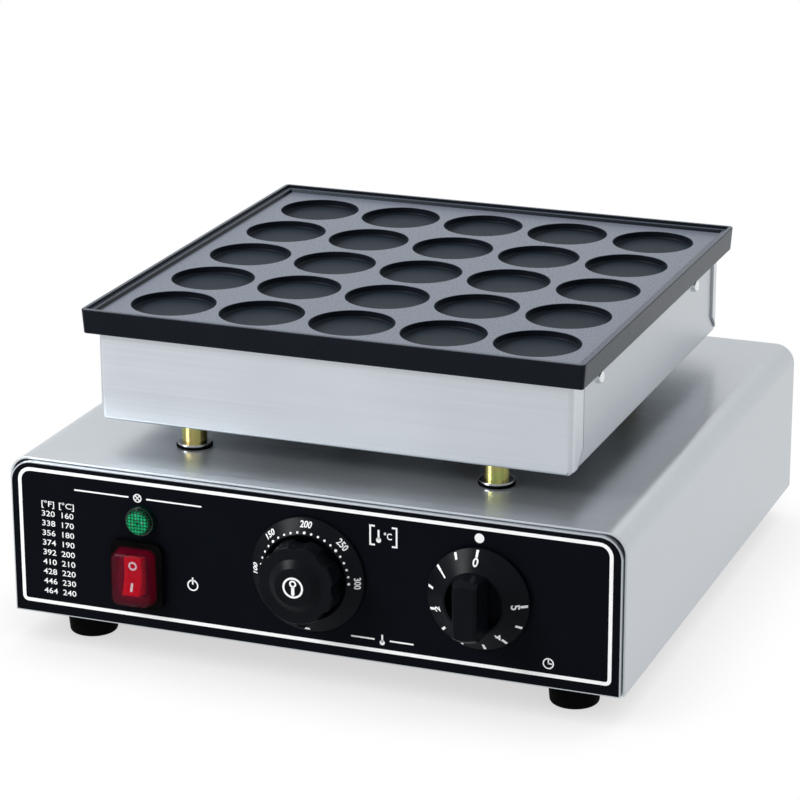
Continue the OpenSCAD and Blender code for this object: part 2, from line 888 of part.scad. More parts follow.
module standoff_pads() {
  color(black) four(standoff_x, standoff_y) translate([0, 0, z_top]) {
    ring(pad_d / 2, bolt_d / 2 + bolt_play, pad_t);
  }
}

module standoff_washers() {
  color(bright) four(standoff_x, standoff_y) translate([0, 0, z_top + pad_t]) {
    ring(washer_d / 2, bolt_d / 2 + bolt_play, washer_t);
  }
}

module standoff_tubes() {
  color(zinc) four(standoff_x, standoff_y) translate([0, 0, z_top + pad_t + washer_t]) {
    ring(tube_d / 2, bolt_d / 2 + bolt_play, gap_h - pad_t - washer_t);
  }
}

module standoff_bolts() {
  len = sheet_t + gap_h + sheet_t + bolt_nut_h + bolt_tail;
  color(bright) four(standoff_x, standoff_y) translate([0, 0, z_blanket]) {
    hex(bolt_head_af, bolt_head_h);
    translate([0, 0, -len]) cylinder(d = bolt_d, h = len);
  }
}

module standoff_nuts() {
  color(bright) four(standoff_x, standoff_y) translate([0, 0, z_top - sheet_t - bolt_nut_h]) {
    hex_nut(bolt_head_af, bolt_nut_h, bolt_d / 2 + thread_play);
  }
}

module lead_conduit() {
  color(zinc) translate([0, conduit_y, z_top - conduit_low]) {
    ring(conduit_r, conduit_bore_r, conduit_low + gap_h + conduit_up);
  }
}

module conduit_nuts() {
  low = z_top - sheet_t - conduit_nut_h;
  color(bright) for (z = [low, z_top, z_pan - conduit_nut_h, z_blanket]) {
    translate([0, conduit_y, z]) hex_nut(conduit_nut_af, conduit_nut_h, conduit_r + thread_play);
  }
}

// Base

module base_cover() {
  color(steel) difference() {
    union() {
      translate([0, y_panel, z_base]) rotate([90, 0, 0]) linear_extrude(cover_d) difference() {
        arch_rect(base_w, base_h, cover_bend_r);
        translate([0, -cut]) arch_rect(base_w - 2 * sheet_t, base_h + cut - sheet_t, cover_bend_r - sheet_t);
      }
      for (s = [0, 1]) {
        mirror([s, 0, 0]) translate([base_w / 2 - sheet_t - flange_w, y_panel - cover_d + flange_w, z_base]) {
          cube([flange_w + sheet_t / 2, cover_d - 2 * flange_w - sheet_t, sheet_t]);
        }
      }
    }
    four(standoff_x, standoff_y) translate([0, 0, z_top - 2 * sheet_t]) {
      cylinder(r = bolt_d / 2 + bolt_play, h = 3 * sheet_t);
    }
    translate([0, conduit_y, z_top - 2 * sheet_t]) cylinder(r = conduit_r + bolt_play, h = 3 * sheet_t);
    side_taps() tap_hole();
  }
}

module side_taps() {
  for (s = [-1, 1]) {
    for (y = [-1, 1]) {
      translate([s * tap_x, y * tap_step, z_base]) children();
    }
  }
}

module end_taps() {
  for (s = [-1, 1]) {
    for (x = [-1, 1]) {
      translate([x * tap_step, s * tap_y, z_base]) children();
    }
  }
}

module tap_hole() {
  translate([0, 0, -cut]) cylinder(r = tap_r + thread_play, h = 2 * sheet_t + 2 * cut);
}

// Shallow pan with its walls turned back, in front view, its face at z = 0 and its depth below
module end_pan() {
  difference() {
    translate([0, 0, -flange_w - sheet_t]) linear_extrude(flange_w + sheet_t) {
      arch_rect(panel_w, panel_h, panel_corner_r);
    }
    translate([0, sheet_t, -flange_w - sheet_t - cut]) linear_extrude(flange_w + cut) {
      arch_rect(panel_w - 2 * sheet_t, panel_h - 2 * sheet_t, panel_corner_r - sheet_t);
    }
  }
}

// Openings of the controls through panel and film
module control_holes() {
  on_panel(switch_x, z_switch) translate([0, 0, -2 * inside]) linear_extrude(4 * inside) {
    square([switch_w + 2 * cutout_play, switch_h + 2 * cutout_play], center = true);
  }
  on_panel(lamp_x, z_lamp) translate([0, 0, -2 * inside]) {
    cylinder(r = lamp_stem_r + cutout_play, h = 4 * inside);
  }
  for (x = [temperature_x, timer_x]) {
    on_panel(x, z_dial) translate([0, 0, -2 * inside]) {
      cylinder(r = bush_r + bush_play, h = 4 * inside);
      for (s = [-1, 1]) {
        translate([s * control_screw_x, 0, 0]) cylinder(r = m4_hole_r, h = 4 * inside);
      }
    }
  }
}

module front_panel() {
  color(steel) difference() {
    translate([0, -y_panel, z_base]) rotate([90, 0, 0]) end_pan();
    control_holes();
    end_taps() tap_hole();
  }
}

module front_film() {
  color(black) difference() {
    translate([0, -y_panel, z_base + film_margin]) rotate([90, 0, 0]) linear_extrude(film_t) {
      arch_rect(film_w, film_h, film_corner_r);
    }
    control_holes();
  }
}

module rear_panel() {
  color(steel) difference() {
    translate([0, y_panel, z_base]) rotate([90, 0, 180]) end_pan();
    gland_place() translate([0, 0, -2 * sheet_t]) cylinder(r = gland_thread_r + bush_play, h = 3 * sheet_t);
    end_taps() tap_hole();
  }
}

module bottom_plate() {
  w = panel_w - 2 * sheet_t - 2 * panel_gap;
  d = base_d - 2 * sheet_t - 2 * panel_gap;
  color(steel) difference() {
    translate([-w / 2, -d / 2, z_base + sheet_t]) cube([w, d, sheet_t]);
    four(foot_x, foot_y) translate([0, 0, z_base]) cylinder(r = m4_hole_r, h = 3 * sheet_t);
    side_taps() tap_hole();
    end_taps() tap_hole();
    for (s = [-1, 1]) {
      for (i = [0:slot_rows - 1]) {
        translate([s * slot_x, slot_y + (i - (slot_rows - 1) / 2) * slot_step, z_base]) {
          linear_extrude(3 * sheet_t) soft_rect(slot_len, slot_w, slot_w / 2 - weld);
        }
      }
    }
  }
}

module bottom_screws() {
  color(bright) {
    side_taps() rotate([180, 0, 0]) pan_screw(tap_r, tap_len, tap_head_r, tap_head_h);
    end_taps() rotate([180, 0, 0]) pan_screw(tap_r, tap_len, tap_head_r, tap_head_h);
  }
}

module rubber_feet() {
  top = z_base + sheet_t;
  low_r = foot_low_d / 2;
  color(black) four(foot_x, foot_y) difference() {
    rotate_extrude() {
      polygon([[0, 0], [low_r - foot_edge_r, 0], [low_r, foot_edge_r], [foot_top_d / 2, top], [0, top]]);
      translate([low_r - foot_edge_r, foot_edge_r]) circle(foot_edge_r);
    }
    translate([0, 0, -cut]) cylinder(r = foot_well_r, h = foot_well_h + cut);
    cylinder(r = m4_hole_r, h = top + cut);
  }
}

module foot_screws() {
  len = z_base + 2 * sheet_t + nut_h + nut_tail - foot_well_h;
  color(bright) four(foot_x, foot_y) translate([0, 0, foot_well_h]) rotate([180, 0, 0]) {
    pan_screw(m4_r, len, m4_head_r, m4_head_h);
  }
}

module foot_nuts() {
  color(bright) four(foot_x, foot_y) translate([0, 0, z_base + 2 * sheet_t]) {
    hex_nut(nut_af, nut_h, m4_r + thread_play);
  }
}

// Lamp

module lamp_bezel() {
  color(black) on_panel(lamp_x, z_lamp) {
    difference() {
      cylinder(d1 = lamp_d, d2 = lamp_d - 2 * lamp_slope, h = lamp_rim);
      translate([0, 0, lens_seat]) cylinder(d = lens_d + 2 * lens_play, h = lamp_rim);
    }
    translate([0, 0, -lamp_stem_len]) cylinder(r = lamp_stem_r, h = lamp_stem_len + lens_seat);
  }
}

module lamp_lens() {
  color([0.10, 0.55, 0.25]) on_panel(lamp_x, z_lamp) translate([0, 0, lens_seat]) {
    cylinder(d = lens_d, h = lamp_rim - lens_low);
    translate([0, 0, lamp_rim - lens_low]) cylinder(d1 = lens_d, d2 = lens_d - 2 * lens_slope, h = lens_rise);
  }
}

module lamp_nut() {
  color(bright) on_panel(lamp_x, z_lamp) translate([0, 0, -inside - lamp_nut_h]) {
    hex_nut(lamp_nut_af, lamp_nut_h, lamp_stem_r + thread_play);
  }
}

// Power switch

module switch_housing() {
  color(black) on_panel(switch_x, z_switch) difference() {
    union() {
      linear_extrude(bezel_t) soft_rect(bezel_w, bezel_h, bezel_r);
      translate([-switch_w / 2, -switch_h / 2, -switch_depth]) cube([switch_w, switch_h, switch_depth + cut]);
    }
    translate([-well_w / 2, -well_len / 2, -well_depth]) cube([well_w, well_len, well_depth + bezel_t + cut]);
    translate([0, 0, pivot_z]) rotate([0, 90, 0]) {
      cylinder(r = pivot_r + spindle_play, h = rocker_w + 2 * (pivot_len + pivot_end), center = true);
    }
  }
}

module switch_rocker() {
  end = rocker_len / 2;
  color([0.80, 0.05, 0.06]) on_panel(switch_x, z_switch) translate([0, 0, pivot_z]) {
    rotate([-rocker_tilt, 0, 0]) {
      rotate([90, 0, 90]) translate([0, 0, -rocker_w / 2]) linear_extrude(rocker_w) {
        polygon([
          [-end, 0], [-end, rocker_face], [0, rocker_face - rocker_dip], [end, rocker_face], [end, 0],
          [pivot_r, -rocker_root], [-pivot_r, -rocker_root]
        ]);
      }
      rotate([0, 90, 0]) cylinder(r = pivot_r, h = rocker_w + 2 * pivot_len, center = true);
    }
  }
}

module switch_boot() {
  color([0.55, 0.05, 0.10, 0.6]) on_panel(switch_x, z_switch) translate([0, 0, bezel_t]) {
    difference() {
      linear_extrude(boot_out) soft_rect(boot_w, boot_h, boot_r);
      translate([0, 0, -cut]) linear_extrude(boot_out + cut - boot_t) {
        soft_rect(boot_w - 2 * boot_t, boot_h - 2 * boot_t, boot_r - boot_t);
      }
    }
  }
}

module switch_blades() {
  color(zinc) on_panel(switch_x, z_switch) for (x = [-1, 1]) {
    for (z = [-1, 1]) {
      translate([x * blade_x - blade_t / 2, z * blade_z - blade_w / 2, -switch_depth - blade_len]) {
        cube([blade_t, blade_w, blade_len]);
      }
    }
  }
}

// Thermostat and temperature dial

module control_bracket() {
  difference() {
    translate([0, 0, -inside - bracket_t]) linear_extrude(bracket_t) {
      soft_rect(bracket_w, bracket_h, bracket_r);
    }
    for (s = [-1, 1]) {
      translate([s * control_screw_x, 0, -inside - bracket_t - cut]) {
        cylinder(r = m4_r + thread_play, h = bracket_t + 2 * cut);
      }
    }
  }
  translate([0, 0, -inside - cut / 2]) cylinder(r = bush_r, h = bush_len);
}

module spindle_bore() {
  translate([0, 0, -spindle_in]) cylinder(r = spindle_r + spindle_play, h = spindle_in + bush_len + cut);
}

module screw_wells() {
  for (s = [-1, 1]) {
    translate([s * control_screw_x, 0, -inside - bracket_t - control_screw_len]) {
      cylinder(r = m4_hole_r, h = control_screw_len + weld);
    }
  }
}

module thermostat_body() {
  color([0.55, 0.56, 0.58]) on_panel(temperature_x, z_dial) difference() {
    union() {
      control_bracket();
      translate([-thermo_w / 2, -thermo_h / 2, -inside - bracket_t - thermo_depth]) {
        cube([thermo_w, thermo_h, thermo_depth]);
      }
    }
    spindle_bore();
    screw_wells();
  }
}

module thermostat_spindle() {
  color(bright) on_panel(temperature_x, z_dial) translate([0, 0, -spindle_in + end_room]) {
    cylinder(r = spindle_r, h = spindle_in - end_room + spindle_out);
  }
}

module temperature_ring() {
  color(black) on_panel(temperature_x, z_dial) rotate_extrude() polygon([
    [scale_in, 0], [scale_r, 0], [scale_r, scale_edge], [scale_r - scale_round, scale_edge + scale_chamfer],
    [scale_in + scale_chamfer, scale_rise], [scale_in, scale_rise - scale_chamfer]
  ]);
}

module temperature_knob() {
  top_r = knob_r - grip_taper;
  color(black) on_panel(temperature_x, z_dial) difference() {
    union() {
      translate([0, 0, hub_gap]) cylinder(r = hub_r, h = grip_z - hub_gap + cut);
      difference() {
        rotate_extrude() {
          polygon([
            [0, grip_z], [knob_r, grip_z], [top_r, grip_top - grip_round], [top_r - grip_round, grip_top],
            [0, grip_top]
          ]);
          translate([top_r - grip_round, grip_top - grip_round]) circle(grip_round);
        }
        for (i = [1:scallop_count - 1]) {
          rotate(-90 + i * 360 / scallop_count) {
            translate([knob_r + scallop_r - scallop_in, 0, grip_z - cut]) cylinder(r = scallop_r, h = knob_h);
          }
        }
      }
      translate([0, 0, grip_top]) cylinder(r1 = cap_slope_r, r2 = cap_r, h = knob_h - grip_top);
      translate([0, 0, grip_z]) linear_extrude(nose_t) polygon([
        [-nose_half, -hub_r], [-nose_half, -knob_r + nose_in], [-nose_tip, -pointer_r],
        [nose_tip, -pointer_r], [nose_half, -knob_r + nose_in], [nose_half, -hub_r]
      ]);
    }
    cylinder(r = spindle_r + knob_play, h = spindle_out + end_room);
  }
}

// Timer

module timer_body() {
  color([0.62, 0.60, 0.56]) on_panel(timer_x, z_dial) difference() {
    union() {
      control_bracket();
      translate([0, 0, -inside - bracket_t - timer_depth]) cylinder(r = timer_r, h = timer_depth);
    }
    spindle_bore();
    screw_wells();
  }
}

module timer_spindle() {
  color(bright) on_panel(timer_x, z_dial) translate([0, 0, -spindle_in + end_room]) {
    cylinder(r = spindle_r, h = spindle_in - end_room + timer_spindle_out);
  }
}

module timer_knob() {
  color(black) on_panel(timer_x, z_dial) difference() {
    union() {
      difference() {
        rotate_extrude() polygon([
          [0, hub_gap], [skirt_r - skirt_chamfer, hub_gap], [skirt_r, hub_gap + skirt_chamfer],
          [skirt_r, hub_gap + skirt_edge], [skirt_top_r, skirt_rise], [0, skirt_rise]
        ]);
        translate([0, 0, dish_z]) {
          cylinder(r1 = dish_r - dish_slope, r2 = dish_r, h = skirt_rise - dish_z + weld);
        }
      }
      intersection() {
        rotate_extrude() {
          polygon([
            [0, dish_z - cut], [finger_r, dish_z - cut], [finger_r, finger_h - finger_drop],
            [finger_r - finger_end, finger_h], [0, finger_h]
          ]);
        }
        rotate([90, 0, 0]) translate([0, 0, -skirt_r]) linear_extrude(2 * skirt_r) polygon([
          [-finger_w / 2 - finger_taper, dish_z - cut], [finger_w / 2 + finger_taper, dish_z - cut],
          [finger_w / 2, finger_h - finger_round], [finger_w / 2 - finger_round, finger_h],
          [-finger_w / 2 + finger_round, finger_h], [-finger_w / 2, finger_h - finger_round]
        ]);
      }
    }
    ring_cut();
    cylinder(r = spindle_r + knob_play, h = timer_spindle_out + end_room);
  }
}

// Hollow under the timer's skirt that clears the screw heads
module ring_cut() {
  translate([0, 0, -cut]) difference() {
    cylinder(r = under_r, h = under_h + cut);
    translate([0, 0, -cut]) cylinder(r = hub_r, h = under_h + 3 * cut);
  }
}

module control_screws() {
  color(bright) for (x = [temperature_x, timer_x]) {
    on_panel(x, z_dial) for (s = [-1, 1]) {
      translate([s * control_screw_x, 0, 0]) pan_screw(m4_r, control_screw_len, m4_head_r, control_head_h);
    }
  }
}

// Supply side

module gland_place() {
  translate([gland_x, y_panel, z_base + gland_z]) rotate([-90, 0, 0]) children();
}

module gland_body() {
  color(black) gland_place() difference() {
    union() {
      hex(gland_af, gland_hex);
      translate([0, 0, -gland_thread_len]) cylinder(r = gland_thread_r, h = gland_thread_len + cut);
    }
    translate([0, 0, -gland_thread_len - cut]) {
      cylinder(r = gland_bore_r, h = gland_thread_len + gland_hex + 2 * cut);
    }
  }
}

module gland_cap() {
  color(black) gland_place() translate([0, 0, gland_hex]) difference() {
    rotate_extrude() polygon([
      [0, 0], [gland_cap_r, 0], [gland_cap_r, gland_out - gland_hex - gland_slope],
      [gland_mouth_r, gland_out - gland_hex], [0, gland_out - gland_hex]
    ]);
    translate([0, 0, -cut]) cylinder(r = gland_bore_r, h = gland_out);
  }
}

module gland_locknut() {
  color(black) gland_place() translate([0, 0, -sheet_t - gland_nut_h]) {
    hex_nut(gland_af, gland_nut_h, gland_thread_r + thread_play);
  }
}

module terminal_block() {
  color(white) translate([block_x - block_w / 2, block_y - block_d / 2, z_base + 2 * sheet_t]) difference() {
    cube([block_w, block_d, block_h]);
    for (i = [0:block_poles - 1]) {
      translate([block_end + i * block_pole, block_d / 2, block_h - block_well_h]) {
        cylinder(r = block_well_r, h = block_well_h + cut);
      }
    }
  }
}

// Leads

module control_leads() {
  routes = [feed_route, timer_route, thermostat_route, lamp_return_route, lamp_route];
  color([0.15, 0.15, 0.17]) for (route = routes) {
    lead(route, lead_r);
  }
}

module heater_leads() {
  color([0.85, 0.82, 0.74]) for (route = [heater_route, heater_return_route]) {
    lead(route, lead_r);
  }
}

cooking_plate();
heater_pan();
pan_screws();
heating_element();
element_seals();
element_clamps();
clamp_screws();
heat_reflector();
insulation_blanket();
sensor_bulb();
bulb_clip();
capillary_tube();
standoff_tubes();
standoff_washers();
standoff_pads();
standoff_bolts();
standoff_nuts();
lead_conduit();
conduit_nuts();
base_cover();
front_panel();
front_film();
rear_panel();
bottom_plate();
bottom_screws();
rubber_feet();
foot_screws();
foot_nuts();
lamp_bezel();
lamp_lens();
lamp_nut();
switch_housing();
switch_rocker();
switch_boot();
switch_blades();
thermostat_body();
thermostat_spindle();
temperature_ring();
temperature_knob();
timer_body();
timer_spindle();
timer_knob();
control_screws();
terminal_block();
gland_body();
gland_cap();
gland_locknut();
control_leads();
heater_leads();
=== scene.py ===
"""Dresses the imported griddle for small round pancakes: finishes, printed scales, soft pieces and stage."""

import math

import bmesh
import bpy
from bpy.props import FloatProperty, FloatVectorProperty, PointerProperty
from mathutils import Matrix, Vector


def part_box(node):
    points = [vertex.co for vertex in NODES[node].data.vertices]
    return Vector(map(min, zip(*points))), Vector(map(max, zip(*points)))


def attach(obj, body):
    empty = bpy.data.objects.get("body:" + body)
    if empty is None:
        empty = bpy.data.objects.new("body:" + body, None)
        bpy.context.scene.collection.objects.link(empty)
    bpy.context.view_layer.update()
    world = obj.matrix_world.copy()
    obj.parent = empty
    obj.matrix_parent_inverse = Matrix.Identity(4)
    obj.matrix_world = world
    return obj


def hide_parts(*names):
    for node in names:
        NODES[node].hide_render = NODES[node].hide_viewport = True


bl_info = {
    "name": "Mini pancake griddle dresser",
    "version": (1, 0, 0),
    "blender": (4, 5, 0),
    "location": "View3D > Sidebar > Griddle",
    "description": "Finishes, printed scales and soft pieces for a countertop griddle with 25 round cups",
    "category": "Object",
}

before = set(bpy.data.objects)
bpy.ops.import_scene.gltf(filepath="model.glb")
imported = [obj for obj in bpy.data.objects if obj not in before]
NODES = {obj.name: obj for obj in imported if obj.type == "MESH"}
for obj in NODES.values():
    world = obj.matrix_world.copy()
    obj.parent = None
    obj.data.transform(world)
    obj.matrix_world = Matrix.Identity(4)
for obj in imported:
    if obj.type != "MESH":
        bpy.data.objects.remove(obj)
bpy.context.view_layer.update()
MM = 0.001
EVEN = (1, 1, 1)
# Height of the print; on a cone it is sunk a little, so its thickness grows
INK = 0.12 * MM
SUNK = 0.06 * MM
CONE_INK = INK + SUNK
SUNK_FLAT = Matrix.Translation((0, 0, -SUNK))


def middle(node):
    """Centre of a CAD node's box."""
    low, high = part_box(node)
    return (low + high) / 2


# Front of the film and the middles of the controls on it
FILM_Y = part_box("front_film")[0].y
LAMP = middle("lamp_bezel")
SWITCH = middle("switch_housing")
DIAL = middle("temperature_ring")
TIMER = middle("timer_body")
# Levels of the plate's lip, its ledge, the lands and the mouths of the cups
LIP_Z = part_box("cooking_plate")[1].z
LEDGE_Z = LIP_Z - 1.8 * MM
LAND_Z = LIP_Z - 3.6 * MM
CUP_EDGE = LAND_Z - 0.5 * MM
RIM_WIDTH = 6.2 * MM
# Painted sheen: how much of the lands' painted sheen the ledge and the lip get
LEDGE_SHARE = 0.45
LIP_SHARE = 0.5
# How the fine grain of a moulded or plated finish changes its tone
SPECKS = (0.82, 1.08)
# How much smoother the sheet is where it lies flat
FLAT_SHINE = 0.045
# Length of the pan's corner tabs at the front and the rear, and of the slant at their foot
TAB_FRONT, TAB_REAR, TAB_CUT = 19.0 * MM, 10.0 * MM, 11.5 * MM
# Painted highlight: how much brighter the tabs are painted, and how dark the line painted along their edge is
TAB_SHINE, SEAM_SHADE = 1.22, 0.2
SEAM_WIDTH = 1.4 * MM
BOOT_CORNER = 5.0 * MM
LENS_PRISM = 1.9 * MM


# Settings a user would change
def length(name, description, millimetres):
    """A length setting, given in millimetres and kept in metres."""
    return FloatProperty(
        name=name, description=description, default=millimetres * MM, min=0.0, precision=5, unit="LENGTH"
    )


def amount(name, description, value, unit="NONE"):
    """A plain number that isn't negative, such as a power."""
    return FloatProperty(name=name, description=description, default=value, min=0.0, unit=unit)


def tint(name, description, colour):
    """A colour setting in linear light."""
    return FloatVectorProperty(
        name=name, description=description, default=colour, size=3, min=0.0, max=1.0, subtype="COLOR"
    )


class GriddleMetalSettings(bpy.types.PropertyGroup):
    """Colours of the sheet metal, the fixings and the coated plate."""

    steel: tint("Sheet steel", "Colour of the brushed stainless sheet", (0.535, 0.570, 0.605))
    steel_shade: tint("Steel shade", "Darker streaks of the brushed sheet", (0.490, 0.524, 0.556))
    coat: tint("Plate coat", "Colour of the non-stick coat on the plate", (0.0030, 0.0042, 0.0072))
    coat_shade: tint("Coat shade", "Darker specks of the non-stick coat", (0.0020, 0.0029, 0.0052))
    # Painted sheen: a lighter colour painted on the lands in place of the coat's grazing reflection
    land: tint("Ground lands", "Colour of the ground coat between the cups", (0.182, 0.202, 0.252))
    zinc: tint("Yellow zinc", "Colour of the passivated stand-off tubes", (0.50, 0.44, 0.13))


class GriddlePanelSettings(bpy.types.PropertyGroup):
    """Sizes and colours of the printed front film."""

    film: tint("Film", "Colour of the front film", (0.0018, 0.0027, 0.0050))
    ink: tint("Ink", "Colour of the printed lines and numbers", (0.94, 0.95, 0.96))
    line: length("Border line", "Width of the printed border line", 2.1)
    border_width: length("Border width", "Outer width of the printed border", 355.0)
    border_height: length("Border height", "Outer height of the printed border", 82.2)
    border_corner: length("Border corner", "Radius of the printed border's upper corners", 8.0)
    border_foot: length("Border foot", "Radius of the printed border's lower corners", 3.5)
    digit: length("Table digits", "Letter size of the number table", 4.8)


class GriddleDialSettings(bpy.types.PropertyGroup):
    """Sizes and colours of the two dials."""

    plastic: tint("Black plastic", "Colour of the moulded knobs and bezels", (0.0038, 0.0048, 0.0068))
    digit: length("Dial digits", "Letter size of the temperature numbers", 5.4)
    dot: length("Dot", "Diameter of a small scale dot", 1.35)
    tick: length("Tick", "Length of a timer tick", 4.3)
    minute: length("Minute digits", "Letter size of the timer's numbers", 7.0)


class GriddleSwitchSettings(bpy.types.PropertyGroup):
    """Sizes and colours of the switch and the lamp."""

    rocker: tint("Rocker", "Colour of the rocker", (0.66, 0.0009, 0.010))
    boot: tint("Boot", "Colour of the clear boot over the rocker", (0.16, 0.0016, 0.018))
    glow: tint("Glow", "Colour of the housing in the boot's red light", (0.090, 0.0007, 0.008))
    lens: tint("Lens", "Colour of the lamp's lens", (0.0020, 0.235, 0.092))
    wall: length("Boot wall", "Wall of the soft boot", 1.1)


class GriddleStageSettings(bpy.types.PropertyGroup):
    """Floor, light and camera of the stage."""

    floor: tint("Floor", "Colour of the floor", (0.90, 0.90, 0.90))
    sky: amount("Sky", "Light from the white surroundings", 0.34)
    key: amount("Key", "Power of the softbox at the left", 55.0, "POWER")
    top: amount("Top", "Power of the overhead softbox", 14.0, "POWER")
    shadow: length("Shadow", "Reach of the soft shadow on the floor", 90.0)
    lens: amount("Lens", "Focal length", 142.579, "CAMERA")


GROUPS = {
    "griddle_metal": GriddleMetalSettings,
    "griddle_panel": GriddlePanelSettings,
    "griddle_dial": GriddleDialSettings,
    "griddle_switch": GriddleSwitchSettings,
    "griddle_stage": GriddleStageSettings,
}


# Finishes
def node(tree, kind, inputs=None, **settings):
    """Adds one shader node and sets its sockets and settings."""
    new = tree.nodes.new(kind)
    for key, value in settings.items():
        setattr(new, key, value)
    for key, value in (inputs or {}).items():
        if isinstance(value, bpy.types.NodeSocket):
            tree.links.new(value, new.inputs[key])
        else:
            new.inputs[key].default_value = value
    return new


def noise(tree, scale, stretch=EVEN, detail=4.0):
    """A noise on object coordinates; a large stretch value makes the grain fine along that axis."""
    coordinates = node(tree, "ShaderNodeTexCoord").outputs["Object"]
    placed = node(tree, "ShaderNodeMapping", {"Vector": coordinates, "Scale": stretch})
    values = {"Vector": placed.outputs["Vector"], "Scale": scale, "Detail": detail}
    return node(tree, "ShaderNodeTexNoise", values).outputs["Fac"]


def span(tree, factor, low, high, start=0.3, end=0.7):
    """Maps a value to a range; start and end are those of a noise unless they are given."""
    values = {"Value": factor, "From Min": start, "From Max": end, "To Min": low, "To Max": high}
    return node(tree, "ShaderNodeMapRange", values).outputs["Result"]


def mix_tones(tree, factor, *tones):
    """Blends two colours by a factor; either may be a socket."""
    first, second = [tone if isinstance(tone, bpy.types.NodeSocket) else (*tone, 1.0) for tone in tones]
    return node(tree, "ShaderNodeMix", {0: factor, 6: first, 7: second}, data_type="RGBA").outputs[2]


def start_finish(name, sockets):
    """A new material with fixed values set on its shader."""
    material = bpy.data.materials.new(name)
    material.use_nodes = True
    shader = material.node_tree.nodes["Principled BSDF"]
    for key, value in sockets.items():
        shader.inputs[key].default_value = value
    return material, material.node_tree, shader


def joined(shader, tone, rough, normal):
    """Links a finish's tone, roughness and normal to its shader."""
    for key, socket in (("Base Color", tone), ("Roughness", rough), ("Normal", normal)):
        shader.id_data.links.new(socket, shader.inputs[key])


def scaled(tree, colour, factor):
    """Multiplies a colour socket by a factor socket."""
    return node(tree, "ShaderNodeVectorMath", {0: colour, 1: factor}, operation="MULTIPLY").outputs["Vector"]


def bumped(tree, height, strength, millimetres, edge=0.0):
    """A bump of that strength and depth, over edges that are softened to a radius."""
    inputs = {"Height": height, "Strength": strength, "Distance": millimetres * MM}
    if edge:
        inputs["Normal"] = node(tree, "ShaderNodeBevel", {"Radius": edge * MM}, samples=6).outputs["Normal"]
    return node(tree, "ShaderNodeBump", inputs).outputs["Normal"]


def maths(tree, operation, *values):
    """One step of arithmetic on sockets and numbers."""
    return node(tree, "ShaderNodeMath", dict(enumerate(values)), operation=operation).outputs["Value"]


def axes_of(tree, kind, output):
    """The three parts of a coordinate or a normal."""
    return node(tree, "ShaderNodeSeparateXYZ", {0: node(tree, kind).outputs[output]}).outputs


def shades(colour, low, high):
    """A darker and a lighter shade of one colour."""
    return [tuple(min(1.0, part * share) for part in colour) for share in (low, high)]


def grained(
    name, tones, rough, coarse, fine, bump, specular=0.5, metallic=0.0, alpha=1.0, edge=0.0,
    stretch=(EVEN, EVEN), change=None
):
    """A finish with a coarse change of tone, a fine grain in its gloss and a shallow bump.

    tones and rough are low and high values; coarse and fine are scales of noise, each with its stretch;
    bump is (strength, millimetres); edge is the radius, in millimetres, to which sharp edges are softened;
    change, if given, takes the node tree and the tone and returns the tone to use.
    """
    if name in bpy.data.materials:
        return bpy.data.materials[name]
    sockets = {"Specular IOR Level": specular, "Metallic": metallic, "Alpha": alpha}
    material, tree, shader = start_finish(name, sockets)
    broad = noise(tree, coarse, stretch[0])
    grain = noise(tree, fine, stretch[1])
    tone = mix_tones(tree, span(tree, broad, 0.0, 1.0), *tones)
    tone = scaled(tree, tone, span(tree, grain, *SPECKS))
    if change:
        tone = change(tree, tone)
    joined(shader, tone, span(tree, grain, *rough), bumped(tree, grain, *bump, edge))
    return material


def brushed_sheet(name="brushed_sheet", seams=None):
    """Stainless sheet, brushed along its length: streaks run level on upright faces and across on the top.

    seams, if given, tells the folded tabs, painted lighter as a highlight, and the dark line painted along
    their edge.
    """
    if name in bpy.data.materials:
        return bpy.data.materials[name]
    metal = bpy.context.scene.griddle_metal
    material, tree, shader = start_finish(name, {"Metallic": 0.92, "Anisotropic": 0.55})
    along, fine = 6, 1900
    upright = noise(tree, 1.0, (along, along, fine), 3.0)
    level = noise(tree, 1.0, (along, fine, along), 3.0)
    lying = maths(tree, "ABSOLUTE", axes_of(tree, "ShaderNodeNewGeometry", "Normal")["Z"])
    flat = maths(tree, "GREATER_THAN", lying, 0.7)
    across = node(tree, "ShaderNodeCombineXYZ", {"Y": flat, "Z": maths(tree, "SUBTRACT", 1.0, flat)})
    tree.links.new(across.outputs["Vector"], shader.inputs["Tangent"])
    streaks = node(tree, "ShaderNodeMix", {0: lying, 2: upright, 3: level}).outputs[0]
    smudges = noise(tree, 9.0, EVEN, 3.0)
    tone = mix_tones(tree, span(tree, streaks, 0.0, 1.0), metal.steel_shade, metal.steel)
    tone = scaled(tree, tone, span(tree, smudges, 0.97, 1.03))
    if seams:
        line, tab_highlight = seams(tree)
        # Painted highlight on the tabs, and a dark line painted along their edge
        tone = scaled(tree, tone, span(tree, tab_highlight, 1.0, TAB_SHINE, 0.0, 1.0))
        tone = scaled(tree, tone, span(tree, line, 1.0, SEAM_SHADE, 0.0, 1.0))
    rough = maths(tree, "ADD", span(tree, streaks, 0.32, 0.40), span(tree, smudges, -0.02, 0.03))
    rough = maths(tree, "SUBTRACT", rough, maths(tree, "MULTIPLY", flat, FLAT_SHINE))
    joined(shader, tone, rough, bumped(tree, streaks, 0.04, 0.02, 0.45))
    return material


